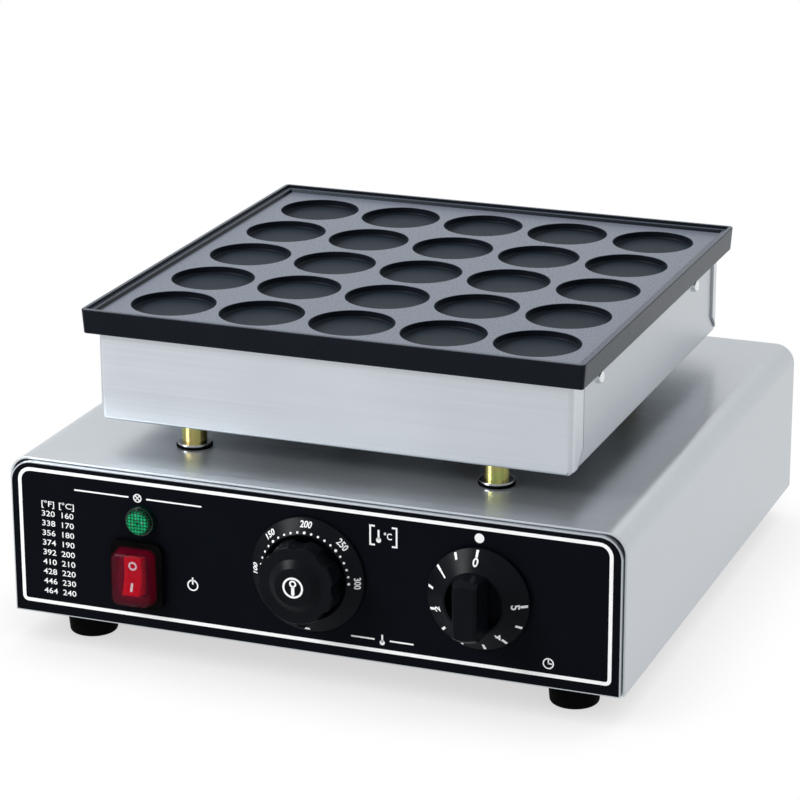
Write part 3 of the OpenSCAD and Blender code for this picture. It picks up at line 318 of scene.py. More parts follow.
def tab_seams(tree):
    """The dark line painted along the tabs that lap round the pan's corners, and the tabs, painted lighter as
    a highlight, slanted at their foot.
    """
    low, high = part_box("heater_pan")
    place = axes_of(tree, "ShaderNodeTexCoord", "Object")
    side = maths(tree, "ABSOLUTE", axes_of(tree, "ShaderNodeNewGeometry", "Normal")["X"])
    slant = low.z + TAB_CUT
    front_end, rear_end = low.y + TAB_FRONT, high.y - TAB_REAR
    front = maths(tree, "MINIMUM", front_end, maths(tree, "ADD", place["Z"], front_end - slant))
    rear = maths(tree, "MAXIMUM", rear_end, maths(tree, "SUBTRACT", rear_end + slant, place["Z"]))
    gaps = [maths(tree, "ABSOLUTE", maths(tree, "SUBTRACT", place["Y"], edge)) for edge in (front, rear)]
    line = span(tree, maths(tree, "MINIMUM", *gaps), 1.0, 0.0, SEAM_WIDTH / 2, SEAM_WIDTH)
    before = maths(tree, "LESS_THAN", place["Y"], front)
    behind = maths(tree, "GREATER_THAN", place["Y"], rear)
    tab_highlight = maths(tree, "MAXIMUM", before, behind)
    upright = span(tree, side, 0.0, 1.0, 0.8, 0.95)
    return maths(tree, "MULTIPLY", line, upright), maths(tree, "MULTIPLY", tab_highlight, upright)


def folded_pan():
    """Brushed sheet of the heater pan, its corner tabs painted lighter as a highlight and a dark line painted
    along their seams.
    """
    return brushed_sheet("folded_pan", tab_seams)


def coated_casting():
    """Non-stick coat over a cast plate: lands and rim have a satin sheen, the lands also a painted sheen in a
    lighter colour, the cups keep a dull cast skin.
    """
    name = "coated_casting"
    if name in bpy.data.materials:
        return bpy.data.materials[name]
    metal = bpy.context.scene.griddle_metal
    gloss = {"Specular IOR Level": 0.12, "Specular Tint": (0.72, 0.86, 1.0, 1.0)}
    sheen = {"Sheen Weight": 0.18, "Sheen Roughness": 0.35, "Sheen Tint": (0.50, 0.74, 1.0, 1.0)}
    material, tree, shader = start_finish(name, {**gloss, **sheen})
    broad = noise(tree, 35.0)
    grain = noise(tree, 1300.0)
    place = axes_of(tree, "ShaderNodeTexCoord", "Object")
    upward = axes_of(tree, "ShaderNodeNewGeometry", "Normal")["Z"]
    reach = maths(tree, "MAXIMUM", maths(tree, "ABSOLUTE", place["X"]), maths(tree, "ABSOLUTE", place["Y"]))
    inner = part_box("cooking_plate")[1].x - RIM_WIDTH
    rim = span(tree, reach, 0.0, 1.0, inner - 0.4 * MM, inner)
    high = span(tree, place["Z"], 0.0, 1.0, CUP_EDGE - 0.8 * MM, CUP_EDGE)
    # Painted sheen: the lands, and less so the ledge and the lip, are painted lighter in place of the coat's
    # grazing reflection
    sheened = 0.0
    for level, share in ((LAND_Z, 1.0), (LEDGE_Z, LEDGE_SHARE), (LIP_Z, LIP_SHARE)):
        away = maths(tree, "ABSOLUTE", maths(tree, "SUBTRACT", place["Z"], level))
        sheened = maths(tree, "MAXIMUM", span(tree, away, share, 0.0, 0.3 * MM, 0.6 * MM), sheened)
    land = maths(tree, "MULTIPLY", sheened, span(tree, upward, 0.0, 1.0, 0.55, 0.9))
    tone = mix_tones(tree, span(tree, broad, 0.0, 1.0), metal.coat_shade, metal.coat)
    tone = mix_tones(tree, land, tone, metal.land)
    tone = scaled(tree, tone, span(tree, grain, 0.85, 1.1))
    cast = span(tree, grain, 0.46, 0.58)
    satin = span(tree, grain, 0.24, 0.32)
    rough = node(tree, "ShaderNodeMix", {0: maths(tree, "MAXIMUM", rim, high), 2: cast, 3: satin}).outputs[0]
    joined(shader, tone, rough, bumped(tree, grain, 0.10, 0.03))
    return material


def front_film():
    """Matt black printed film with a faint grain."""
    return grained(
        "front_film_finish", shades(bpy.context.scene.griddle_panel.film, 0.85, 1.15),
        rough=(0.44, 0.56), coarse=22.0, fine=2400.0, bump=(0.04, 0.01), specular=0.03,
    )


def moulded_black():
    """Black moulded plastic with a fine spark grain."""
    return grained(
        "moulded_black", shades(bpy.context.scene.griddle_dial.plastic, 0.8, 1.25),
        rough=(0.26, 0.36), coarse=40.0, fine=1900.0, bump=(0.10, 0.02), specular=0.045, edge=0.5,
    )


def red_under_boot(tree, tone):
    """Paints the boot's red light on the housing's front inside the walls of the boot."""
    low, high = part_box("switch_boot")
    place = axes_of(tree, "ShaderNodeTexCoord", "Object")
    past = []
    for axis, start, end in (("X", low.x, high.x), ("Z", low.z, high.z)):
        away = maths(tree, "ABSOLUTE", maths(tree, "SUBTRACT", place[axis], (start + end) / 2))
        straight = (end - start) / 2 - BOOT_CORNER
        past.append(maths(tree, "MAXIMUM", maths(tree, "SUBTRACT", away, straight), 0.0))
    squares = [maths(tree, "POWER", part, 2.0) for part in past]
    reach = maths(tree, "SQRT", maths(tree, "ADD", *squares))
    front = maths(tree, "LESS_THAN", place["Y"], high.y + 0.5 * MM)
    inside = maths(tree, "MULTIPLY", front, span(tree, reach, 1.0, 0.0, BOOT_CORNER - 2.5 * MM, BOOT_CORNER))
    return mix_tones(tree, inside, tone, bpy.context.scene.griddle_switch.glow)


def dull_nylon():
    """Dull black nylon of the switch's housing, red where light falls on it through the boot."""
    return grained(
        "dull_nylon", ((0.0008, 0.0008, 0.0009), (0.0016, 0.0016, 0.0018)),
        rough=(0.45, 0.60), coarse=80.0, fine=1700.0, bump=(0.10, 0.02), specular=0.025, edge=0.4,
        change=red_under_boot,
    )


def foot_rubber():
    """Dull black rubber with moulding pores."""
    return grained(
        "foot_rubber", ((0.0010, 0.0010, 0.0010), (0.0028, 0.0028, 0.0028)),
        rough=(0.62, 0.85), coarse=60.0, fine=1400.0, bump=(0.25, 0.05), specular=0.025, edge=0.9,
    )


def printed_ink():
    """Screen-printed white ink, slightly uneven."""
    return grained(
        "printed_ink", shades(bpy.context.scene.griddle_panel.ink, 0.97, 1.03),
        rough=(0.45, 0.60), coarse=160.0, fine=3000.0, bump=(0.05, 0.01), specular=0.25,
    )


def yellow_zinc():
    """Yellow passivated zinc: gold that drifts to green and rose, with fine drawing lines."""
    name = "yellow_zinc_plating"
    if name in bpy.data.materials:
        return bpy.data.materials[name]
    zinc = tuple(bpy.context.scene.griddle_metal.zinc)
    material, tree, shader = start_finish(name, {"Metallic": 1.0})
    drift = noise(tree, 70.0, EVEN, 2.0)
    lines = noise(tree, 1.0, (900, 900, 30), 2.0)
    greenish = (zinc[0] * 0.80, zinc[1] * 1.12, zinc[2] * 1.1)
    rosy = (zinc[0] * 1.15, zinc[1] * 0.92, zinc[2] * 1.25)
    tone = mix_tones(tree, span(tree, drift, 0.0, 1.0), greenish, rosy)
    tone = scaled(tree, tone, span(tree, lines, 0.80, 1.08))
    joined(shader, tone, span(tree, lines, 0.12, 0.24), bumped(tree, lines, 0.08, 0.02))
    return material


def bright_fixing():
    """Zinc-plated fixings with fine scratches and dull spots."""
    return grained(
        "bright_fixing", ((0.70, 0.72, 0.74), (0.90, 0.91, 0.92)),
        rough=(0.12, 0.28), coarse=260.0, fine=1500.0, bump=(0.06, 0.02), metallic=1.0, edge=0.3,
        stretch=(EVEN, (1, 1, 4)),
    )


def polished_washer():
    """Polished washers, ringed by the lathe."""
    return grained(
        "polished_washer", ((0.42, 0.43, 0.44), (0.56, 0.57, 0.58)),
        rough=(0.08, 0.16), coarse=180.0, fine=1300.0, bump=(0.04, 0.01), metallic=1.0, edge=0.4,
        stretch=(EVEN, (1, 1, 3)),
    )


def heater_sheath():
    """Heat-blued nickel steel of the heating element."""
    return grained(
        "heater_sheath_finish", ((0.07, 0.06, 0.06), (0.16, 0.15, 0.16)),
        rough=(0.40, 0.62), coarse=45.0, fine=900.0, bump=(0.15, 0.03), metallic=0.9,
    )


def reflector_foil():
    """Thin mill-finish aluminium with rolling lines."""
    return grained(
        "reflector_foil", ((0.66, 0.67, 0.68), (0.82, 0.83, 0.84)),
        rough=(0.24, 0.40), coarse=18.0, fine=1.0, bump=(0.05, 0.02), metallic=1.0,
        stretch=(EVEN, (5, 1500, 5)),
    )


def glazed_ceramic():
    """Cream steatite with a fine glaze texture."""
    return grained(
        "glazed_ceramic", ((0.62, 0.58, 0.48), (0.74, 0.71, 0.62)),
        rough=(0.25, 0.42), coarse=120.0, fine=1100.0, bump=(0.08, 0.03),
    )


def fibre_blanket():
    """Ceramic fibre felt with tangled threads."""
    return grained(
        "fibre_felt", ((0.58, 0.56, 0.51), (0.78, 0.76, 0.71)),
        rough=(0.86, 0.98), coarse=55.0, fine=420.0, bump=(0.7, 0.4), specular=0.15,
        stretch=((1, 2, 1), (1, 5, 2)),
    )


def copper_tube():
    """Drawn copper, dulled by heat."""
    return grained(
        "drawn_copper", ((0.40, 0.17, 0.09), (0.66, 0.33, 0.20)),
        rough=(0.28, 0.48), coarse=110.0, fine=1200.0, bump=(0.08, 0.02), metallic=1.0,
    )


def thermostat_case():
    """Pressed zinc-plated case of the thermostat."""
    return grained(
        "thermostat_case", ((0.38, 0.39, 0.40), (0.55, 0.56, 0.57)),
        rough=(0.32, 0.48), coarse=60.0, fine=800.0, bump=(0.08, 0.03), metallic=1.0,
        stretch=(EVEN, (1, 1, 3)),
    )


def timer_case():
    """Pale moulded case of the clockwork timer."""
    return grained(
        "timer_case", ((0.50, 0.49, 0.44), (0.62, 0.61, 0.56)),
        rough=(0.42, 0.56), coarse=50.0, fine=1300.0, bump=(0.10, 0.02),
    )


def woven_sleeve(name, tones):
    """Braided glass sleeve or silicone jacket on a lead."""
    return grained(
        name, tones,
        rough=(0.55, 0.75), coarse=140.0, fine=1600.0, bump=(0.35, 0.08), stretch=(EVEN, (1, 1, 2)),
    )


def red_rocker():
    """Glossy red moulding of the rocker."""
    return grained(
        "red_rocker", shades(bpy.context.scene.griddle_switch.rocker, 0.86, 1.1),
        rough=(0.22, 0.34), coarse=150.0, fine=1500.0, bump=(0.04, 0.01), specular=0.04,
    )


def clear_boot():
    """Dark red see-through vinyl with a soft gloss."""
    return grained(
        "clear_boot", shades(bpy.context.scene.griddle_switch.boot, 0.92, 1.08),
        rough=(0.20, 0.28), coarse=60.0, fine=120.0, bump=(0.02, 0.01), alpha=0.17, specular=0.28,
    )


def prism_grid(tree, tone):
    """Painted glints on the prisms between dark grid lines on the lens, and a painted shade ring along its
    edge.
    """
    low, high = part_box("lamp_lens")
    place = axes_of(tree, "ShaderNodeTexCoord", "Object")
    shade = 1.0
    squares = []
    for axis, centre in (("X", LAMP.x), ("Z", LAMP.z)):
        away = maths(tree, "SUBTRACT", place[axis], centre)
        wave = maths(tree, "PINGPONG", away, LENS_PRISM / 2)
        facet_glint = span(tree, wave, 0.35, 1.25, 0.05 * LENS_PRISM, 0.3 * LENS_PRISM)
        shade = maths(tree, "MULTIPLY", facet_glint, shade)
        squares.append(maths(tree, "MULTIPLY", away, away))
    reach = maths(tree, "SQRT", maths(tree, "ADD", *squares))
    radius = (high.x - low.x) / 2
    # Painted shade: the lens darkens towards its edge
    edge = span(tree, reach, 1.0, 0.18, 0.80 * radius, 0.92 * radius)
    return scaled(tree, tone, maths(tree, "MULTIPLY", shade, edge))


def green_lens():
    """Clear green moulding with painted glints on its prisms and painted shade along its edge."""
    return grained(
        "green_lens_finish", shades(bpy.context.scene.griddle_switch.lens, 0.55, 1.5),
        rough=(0.08, 0.18), coarse=900.0, fine=1800.0, bump=(0.05, 0.02), specular=0.12,
        change=prism_grid,
    )


def green_collar():
    """Dark green glossy moulding of the lamp's collar."""
    return grained(
        "green_collar", ((0.0010, 0.010, 0.006), (0.0016, 0.018, 0.011)),
        rough=(0.10, 0.20), coarse=300.0, fine=1800.0, bump=(0.05, 0.01), specular=0.45, edge=0.4,
    )


SLOT_FINISH = {
    "coated_plate": coated_casting,
    "sheet_steel": brushed_sheet,
    "bright_fixings": bright_fixing,
    "yellow_zinc": yellow_zinc,
    "heater_sheath": heater_sheath,
    "reflector": reflector_foil,
    "ceramic": glazed_ceramic,
    "blanket": fibre_blanket,
    "copper": copper_tube,
    "black_rubber": foot_rubber,
    "black_film": front_film,
    "black_plastic": moulded_black,
    "red_plastic": red_rocker,
    "red_boot": clear_boot,
    "green_lens": green_lens,
    "thermostat_metal": thermostat_case,
    "timer_plastic": timer_case,
    "lead_jacket": lambda: woven_sleeve("lead_jacket_finish", ((0.30, 0.05, 0.04), (0.42, 0.08, 0.06))),
    "glass_sleeve": lambda: woven_sleeve("glass_sleeve_finish", ((0.55, 0.53, 0.47), (0.72, 0.70, 0.64))),
}


def dress(*slots):
    """Gives every CAD node of these slots its finish."""
    for part in NODES.values():
        slot = part.data.materials[0].name if part.data.materials else ""
        if slot in slots:
            part.material_slots[0].link = "OBJECT"
            part.material_slots[0].material = SLOT_FINISH[slot]()


# Shapes
def on_panel(place, out=0.0, turn=0.0):
    """From a control's own axes, right, up and outwards, to its place on the front film."""
    axes = Matrix(((1, 0, 0, 0), (0, 0, -1, 0), (0, 1, 0, 0), (0, 0, 0, 1)))
    return Matrix.Translation((place.x, FILM_Y - out, place.z)) @ axes @ Matrix.Rotation(turn, 4, "Z")


def film_spot(x, z, turn=0.0):
    """A place on the front film, in millimetres from the middle and from the worktop."""
    return on_panel(Vector((x * MM, 0, z * MM)), 0.0, turn)


def mesh_of(bm, name):
    """Turns a bmesh into a mesh and lets it go."""
    mesh = bpy.data.meshes.new(name)
    bm.to_mesh(mesh)
    bm.free()
    return mesh


def piece(name, bm, slot, body="chassis", stands_for=(), finish=None, crease=30.0, place=Matrix()):
    """Makes a closed bmesh an object at its place, parents it to its body and hides the CAD nodes it stands
    for.
    """
    bmesh.ops.transform(bm, matrix=place, verts=bm.verts)
    bmesh.ops.remove_doubles(bm, verts=bm.verts, dist=0.002 * MM)
    loose = [edge for edge in bm.edges if not edge.is_manifold]
    if loose:
        raise RuntimeError(f"{name} is open at {len(loose)} edges")
    mesh = mesh_of(bm, name)
    mesh.shade_smooth()
    mesh.set_sharp_from_angle(angle=math.radians(crease))
    mesh.materials.append(finish or SLOT_FINISH[slot]())
    made = bpy.data.objects.new(name, mesh)
    bpy.context.scene.collection.objects.link(made)
    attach(made, body)
    if stands_for:
        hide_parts(*stands_for)


def printed(name, bm, slot, body="chassis", place=Matrix()):
    """Makes a piece of white print."""
    piece(name, bm, slot, body, finish=printed_ink(), place=place)


def lathe(bm, profile, steps, closed=False):
    """Spins (radius, height) points round the outward axis; a closed profile makes a ring."""
    verts = [bm.verts.new((radius, 0.0, height)) for radius, height in profile]
    edges = [bm.edges.new(pair) for pair in zip(verts, verts[1:])]
    if closed:
        edges.append(bm.edges.new((verts[-1], verts[0])))
    bmesh.ops.spin(
        bm, geom=verts + edges, axis=(0, 0, 1), cent=(0, 0, 0), angle=math.tau, steps=steps, use_merge=True
    )
    tidy_normals(bm)


def tidy_normals(bm):
    """Merges doubles, drops what collapses and turns the faces outwards."""
    bmesh.ops.remove_doubles(bm, verts=bm.verts, dist=0.002 * MM)
    bmesh.ops.dissolve_degenerate(bm, edges=bm.edges, dist=0.001 * MM)
    bmesh.ops.recalc_face_normals(bm, faces=bm.faces)


def rounded(bm, geom, radius, segments, affect="EDGES", clamp=False):
    """Rounds these edges or corners."""
    bmesh.ops.bevel(
        bm, geom=geom, offset=radius, offset_type="OFFSET", affect=affect, segments=segments, profile=0.5,
        material=-1, clamp_overlap=clamp,
    )


def new_plate(bm, width, height, corner, foot=None):
    """A flat face, its upper corners round and its lower ones too, to the foot radius if that is given."""
    made = bmesh.ops.create_grid(bm, x_segments=1, y_segments=1, size=0.5)["verts"]
    bmesh.ops.scale(bm, vec=(width, height, 1.0), verts=made)
    upper = [v for v in made if v.co.y > 0]
    lower = [v for v in made if v.co.y < 0]
    for verts, radius in ((upper, corner), (lower, corner if foot is None else foot)):
        if radius:
            rounded(bm, verts, radius, 6, "VERTICES")
    return max(bm.faces, key=lambda face: face.calc_area())


def raised(bm, faces, move, keep=True):
    """Extrudes faces along a move and returns the moved corners; keep leaves the faces in place too."""
    made = bmesh.ops.extrude_face_region(bm, geom=faces, use_keep_orig=keep)["geom"]
    corners = [v for v in made if isinstance(v, bmesh.types.BMVert)]
    bmesh.ops.translate(bm, vec=move, verts=corners)
    return corners


def add_mesh(bm, mesh):
    """Takes a finished mesh into a bmesh and lets it go."""
    bm.from_mesh(mesh)
    bpy.data.meshes.remove(mesh)


def slab_mesh(width, height, corner, thick, place):
    """A thin bar of ink in its own mesh."""
    bm = bmesh.new()
    raised(bm, [new_plate(bm, width, height, corner)], (0, 0, thick))
    tidy_normals(bm)
    return sealed(bm, place)


def sealed(bm, place):
    """A bmesh as a mesh at its place."""
    mesh = mesh_of(bm, "mark")
    mesh.transform(place)
    return mesh


def ring_mesh(outer, inner, thick, place, steps=48):
    """A printed ring, or a dot where the inner radius is nothing."""
    bm = bmesh.new()
    lathe(bm, [(inner, 0.0), (outer, 0.0), (outer, thick), (inner, thick)], steps, inner > 0.0)
    return sealed(bm, place)


def lettering(text, size, thick, place, squeeze, bold=0.012):
    """Plain figures as a closed mesh, centred on their place; squeeze is their width, bold their growth."""
    curve = bpy.data.curves.new("lettering", "FONT")
    curve.body = text
    curve.size = size
    curve.align_x = "CENTER"
    curve.align_y = "CENTER"
    curve.extrude = thick / 2
    curve.offset = bold * size
    curve.resolution_u = 3
    holder = bpy.data.objects.new("lettering", curve)
    mesh = bpy.data.meshes.new_from_object(holder)
    bpy.data.objects.remove(holder)
    bpy.data.curves.remove(curve)
    mesh.transform(Matrix.Translation((0, 0, thick / 2)) @ Matrix.Diagonal((squeeze, 1, 1, 1)))
    mesh.transform(place)
    return mesh


def wrap_on_cone(mesh, radius, angle, foot):
    """Bends a flat mark round a dial: its up axis runs along the cone, its right axis round it.

    foot is (radius, height, slope) of the cone; the mark's origin lands at that radius and clock angle.
    """
    base_radius, base_height, slope = foot
    lean = math.atan(slope)
    for vertex in mesh.vertices:
        along, up, out = vertex.co
        reach = radius + up * math.cos(lean) + out * math.sin(lean)
        height = base_height + (base_radius - radius) * slope - up * math.sin(lean) + out * math.cos(lean)
        bearing = angle + along / radius
        vertex.co = (reach * math.sin(bearing), reach * math.cos(bearing), height)
    return mesh


# Operators
class GRIDDLE_OT_stage(bpy.types.Operator):
    """Pale floor, white surroundings, soft lamps and the camera"""

    bl_idname = "griddle.stage"
    bl_label = "Stage"

    LIT_POINT = Vector((0.0, 0.0, 0.1))
    FLOOR_REACH = 9.0
    # The camera's place in metres, then its turn round the object, its look down and its roll in degrees
    PLACE = (0.637054, -1.687927, 0.713795)
    TURN, DOWN, ROLL = 21.080, 18.483, -0.199

    def execute(self, context):
        settings = context.scene.griddle_stage
        context.scene.view_settings.view_transform = "Standard"
        self.surroundings(context, settings)
        self.floor(context, settings)
        for name, place, size, watts in (
            ("softbox_left", (-1.55, -1.55, 1.45), 0.8, settings.key),
            ("softbox_top", (0.3, 0.2, 2.4), 2.6, settings.top),
        ):
            lamp = bpy.data.lights.new(name, "AREA")
            lamp.size = size
            lamp.energy = watts
            holder = bpy.data.objects.new(name, lamp)
            holder.location = place
            aim = self.LIT_POINT - Vector(place)
            holder.rotation_euler = aim.to_track_quat("-Z", "Y").to_euler()
            context.scene.collection.objects.link(holder)
        self.camera(context, settings)
        return {"FINISHED"}

    def seen_white(self, tree):
        """One where a ray comes from the camera, a reflection or clear plastic."""
        path = node(tree, "ShaderNodeLightPath").outputs
        seen = maths(tree, "MAXIMUM", path["Is Camera Ray"], path["Is Glossy Ray"])
        return maths(tree, "MAXIMUM", seen, path["Is Transmission Ray"])

    def surroundings(self, context, settings):
        world = bpy.data.worlds.new("white_surroundings")
        world.use_nodes = True
        tree = world.node_tree
        background = tree.nodes["Background"]
        background.inputs["Color"].default_value = (1.0, 1.0, 1.0, 1.0)
        seen = self.seen_white(tree)
        tree.links.new(span(tree, seen, settings.sky, 1.0, 0.0, 1.0), background.inputs["Strength"])
        context.scene.world = world

    def floor(self, context, settings):
        bm = bmesh.new()
        bmesh.ops.create_grid(bm, x_segments=8, y_segments=8, size=self.FLOOR_REACH)
        floor = bpy.data.objects.new("floor", mesh_of(bm, "floor"))
        floor.data.materials.append(self.paper(settings))
        context.scene.collection.objects.link(floor)

    def paper(self, settings):
        """Pale paper that is white where it is seen and keeps the soft shadow round the object."""
        material, tree, shader = start_finish("floor_paper", {"Roughness": 0.9, "Specular IOR Level": 0.0})
        mottle = span(tree, noise(tree, 1.5), 0.0, 1.0)
        tone = mix_tones(tree, mottle, *shades(settings.floor, 0.995, 1.005))
        tree.links.new(tone, shader.inputs["Base Color"])
        shade = node(tree, "ShaderNodeAmbientOcclusion", {"Distance": settings.shadow}, samples=16)
        soft = span(tree, shade.outputs["AO"], 0.60, 1.0, 0.0, 0.82)
        white = node(tree, "ShaderNodeEmission", {"Color": (1.0, 1.0, 1.0, 1.0), "Strength": soft})
        parts = {0: self.seen_white(tree), 1: shader.outputs[0], 2: white.outputs[0]}
        mixer = node(tree, "ShaderNodeMixShader", parts)
        tree.links.new(mixer.outputs[0], tree.nodes["Material Output"].inputs["Surface"])
        return material

    def camera(self, context, settings):
        data = bpy.data.cameras.new("photo_camera")
        data.lens = settings.lens
        camera = bpy.data.objects.new("photo_camera", data)
        turn = Matrix.Rotation(math.radians(self.TURN), 4, "Z")
        turn = turn @ Matrix.Rotation(math.radians(90 - self.DOWN), 4, "X")
        roll = Matrix.Rotation(math.radians(self.ROLL), 4, "Z")
        camera.matrix_world = Matrix.Translation(self.PLACE) @ turn @ roll
        context.scene.collection.objects.link(camera)
        context.scene.camera = camera


class GRIDDLE_OT_metalwork(bpy.types.Operator):
    """Finishes of the sheet metal, the coated plate and the fixings"""

    bl_idname = "griddle.metalwork"
    bl_label = "Metalwork"

    def execute(self, context):
        dress("sheet_steel", "coated_plate", "bright_fixings", "yellow_zinc", "reflector", "thermostat_metal")
        NODES["heater_pan"].material_slots[0].material = folded_pan()
        NODES["standoff_washers"].material_slots[0].material = polished_washer()
        return {"FINISHED"}


class GRIDDLE_OT_inside(bpy.types.Operator):
    """Finishes of the heater and the wiring inside"""

    bl_idname = "griddle.inside"
    bl_label = "Heater and wiring"

    def execute(self, context):
        dress("heater_sheath", "ceramic", "copper", "timer_plastic", "blanket", "lead_jacket", "glass_sleeve")
        self.soft_copy("fibre_blanket", "insulation_blanket", "blanket", 0.0)
        self.soft_copy("control_wires", "control_leads", "lead_jacket", 0.07)
        self.soft_copy("heater_wires", "heater_leads", "glass_sleeve", 0.07)
        self.soft_copy("sensor_capillary", "capillary_tube", "copper", 0.04)
        return {"FINISHED"}

    def soft_copy(self, name, source, slot, swell):
        """A merged, smooth copy of a soft CAD solid, swollen a little so that its rounding keeps the size."""
        bm = bmesh.new()
        bm.from_mesh(NODES[source].data)
        bmesh.ops.remove_doubles(bm, verts=bm.verts, dist=0.005 * MM)
        bm.normal_update()
        for vertex in bm.verts:
            vertex.co += vertex.normal * swell * MM
        piece(name, bm, slot, "chassis", (source,), crease=60.0)


class GRIDDLE_OT_plastics(bpy.types.Operator):
    """Finishes of the film, the knobs, the bezels, the gland and the rubber"""

    bl_idname = "griddle.plastics"
    bl_label = "Plastics and rubber"

    def execute(self, context):
        dress("black_film", "black_plastic", "black_rubber", "red_plastic", "red_boot", "green_lens")
        return {"FINISHED"}


class GRIDDLE_OT_panel_print(bpy.types.Operator):
    """White border, number table and signs printed on the front film"""

    bl_idname = "griddle.panel_print"
    bl_label = "Panel print"

    # Lower edge of the border, then the table's columns, first row and pitch, all in millimetres
    BORDER_EDGE = 25.0
    COLUMNS = (-159.2, -147.4)
    FIRST_ROW, PITCH = 86.1, 5.9
    # Place and radius of the timer's index dot
    INDEX, INDEX_RADIUS = (101.7, 100.4), 2.75

    def execute(self, context):
        panel = context.scene.griddle_panel
        self.border(panel)
        self.table(panel)
        self.signs()
        bm = bmesh.new()
        add_mesh(bm, ring_mesh(self.INDEX_RADIUS * MM, 0.0, INK, film_spot(*self.INDEX)))
        printed("timer_index_dot", bm, "black_film")
        return {"FINISHED"}

    def border(self, panel):
        bm = bmesh.new()
        outer = new_plate(bm, panel.border_width, panel.border_height, panel.border_corner, panel.border_foot)
        bmesh.ops.inset_region(
            bm, faces=[outer], thickness=panel.line, use_even_offset=True, use_boundary=True
        )
        inner = max(bm.faces, key=lambda face: len(face.verts))
        bmesh.ops.delete(bm, geom=[inner], context="FACES_ONLY")
        bm.normal_update()
        raised(bm, list(bm.faces), (0, 0, INK))
        tidy_normals(bm)
        centre = Vector((0, 0, self.BORDER_EDGE * MM + panel.border_height / 2))
        printed("panel_border", bm, "black_film", place=on_panel(centre))

    def table(self, panel):
        bm = bmesh.new()
        rows = [("[°F]", "[°C]")]
        rows += [(str(round(c * 1.8 + 32)), str(c)) for c in range(160, 250, 10)]
        for index, row in enumerate(rows):
            for x, text in zip(self.COLUMNS, row):
                place = film_spot(x, self.FIRST_ROW - index * self.PITCH)
                add_mesh(bm, lettering(text, panel.digit, INK, place, squeeze=1.22, bold=0.004))
        printed("panel_number_table", bm, "black_film")

    def signs(self):
        bm = bmesh.new()

        def bar(x, z, width, height, turn=0.0):
            add_mesh(bm, slab_mesh(width * MM, height * MM, 0.0, INK, film_spot(x, z, turn)))

        def ring(x, z, outer, inner):
            add_mesh(bm, ring_mesh(outer * MM, inner * MM, INK, film_spot(x, z)))

        # Lamp sign between two rules
        x, z = -102.5, 97.0
        ring(x, z, 2.6, 1.9)
        bar(x, z, 3.7, 0.6, math.radians(45))
        bar(x, z, 3.7, 0.62, math.radians(-45))
        for side in (-1, 1):
            bar(x + side * 22.5, z, 34.0, 0.9)
        # Mains sign beside the switch
        x, z = -69.5, 49.0
        ring(x, z, 3.4, 2.6)
        bar(x, z + 2.6, 0.9, 4.2)
        # Thermometer between two rules under the dial
        x, z = 45.0, 31.0
        ring(x, z, 1.5, 0.0)
        bar(x, z + 2.4, 1.0, 4.6)
        for side in (-1, 1):
            bar(x + side * 11.5, z + 1.5, 14.0, 0.9)
        # Clock under the timer
        x, z = 141.7, 33.0
        ring(x, z, 3.2, 2.5)
        bar(x, z + 1.0, 0.7, 2.6)
        bar(x + 1.0, z, 2.4, 0.7)
        # Bracketed thermometer and unit beside the dial
        x, z = 46.0, 94.0
        for side in (-1, 1):
            bar(x + side * 7.75, z, 1.0, 12.0)
            for end in (-1, 1):
                bar(x + side * 6.2, z + end * 5.5, 2.4, 1.0)
        ring(x - 2.8, z - 2.6, 1.5, 0.0)
        bar(x - 2.8, z + 0.6, 1.1, 5.6)
        add_mesh(bm, lettering("°C", 5.4 * MM, INK, film_spot(x + 2.6, z), squeeze=0.85))
        printed("panel_signs", bm, "black_film")


class GRIDDLE_OT_temperature_dial(bpy.types.Operator):
    """Scale on the temperature ring and the mark on its knob"""

    bl_idname = "griddle.temperature_dial"
    bl_label = "Temperature dial"

    # Radius, height and slope at the foot of the ring's cone
    CONE = (32.9 * MM, 2.4 * MM, 4.8 / 7.7)
    # Radii of the dots, the numbers and the off mark
    DOTS, NUMBERS, OFF = 26.4 * MM, 30.4 * MM, 31.6 * MM
    # Angle from dot to dot, and how far the whole scale is turned
    STEP, SKEW = math.radians(9.0), math.radians(0.6)

    def execute(self, context):
        self.scale(context.scene.griddle_dial)
        self.marks()
        return {"FINISHED"}

    def scale(self, dial):
        bm = bmesh.new()
        for count in range(-10, 11):
            angle = count * self.STEP + self.SKEW
            temperature = 200 + 10 * count
            numbered = temperature % 50 == 0
            radius = dial.dot * (0.62 if numbered else 0.5)
            mark = ring_mesh(radius, 0.0, CONE_INK, SUNK_FLAT, 16)
            add_mesh(bm, wrap_on_cone(mark, self.DOTS, angle, self.CONE))
            if numbered:
                mark = lettering(str(temperature), dial.digit, CONE_INK, SUNK_FLAT, squeeze=0.86, bold=0.02)
                add_mesh(bm, wrap_on_cone(mark, self.NUMBERS, angle, self.CONE))
        mark = slab_mesh(3.2 * MM, 1.5 * MM, 0.3 * MM, CONE_INK, SUNK_FLAT)
        add_mesh(bm, wrap_on_cone(mark, self.OFF, math.pi, self.CONE))
        printed("temperature_scale", bm, "black_plastic", place=on_panel(DIAL))

    def marks(self):
        bm = bmesh.new()
        cap = FILM_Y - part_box("temperature_knob")[0].y
        for mesh in (
            ring_mesh(6.1 * MM, 4.95 * MM, INK, Matrix.Translation((0, 0, cap))),
            ring_mesh(2.1 * MM, 1.1 * MM, INK, Matrix.Translation((0, 2.3 * MM, cap))),
            slab_mesh(1.9 * MM, 5.4 * MM, 0.9 * MM, INK, Matrix.Translation((0, -1.9 * MM, cap))),
        ):
            add_mesh(bm, mesh)
        printed("temperature_marks", bm, "black_plastic", "temperature", place=on_panel(DIAL))


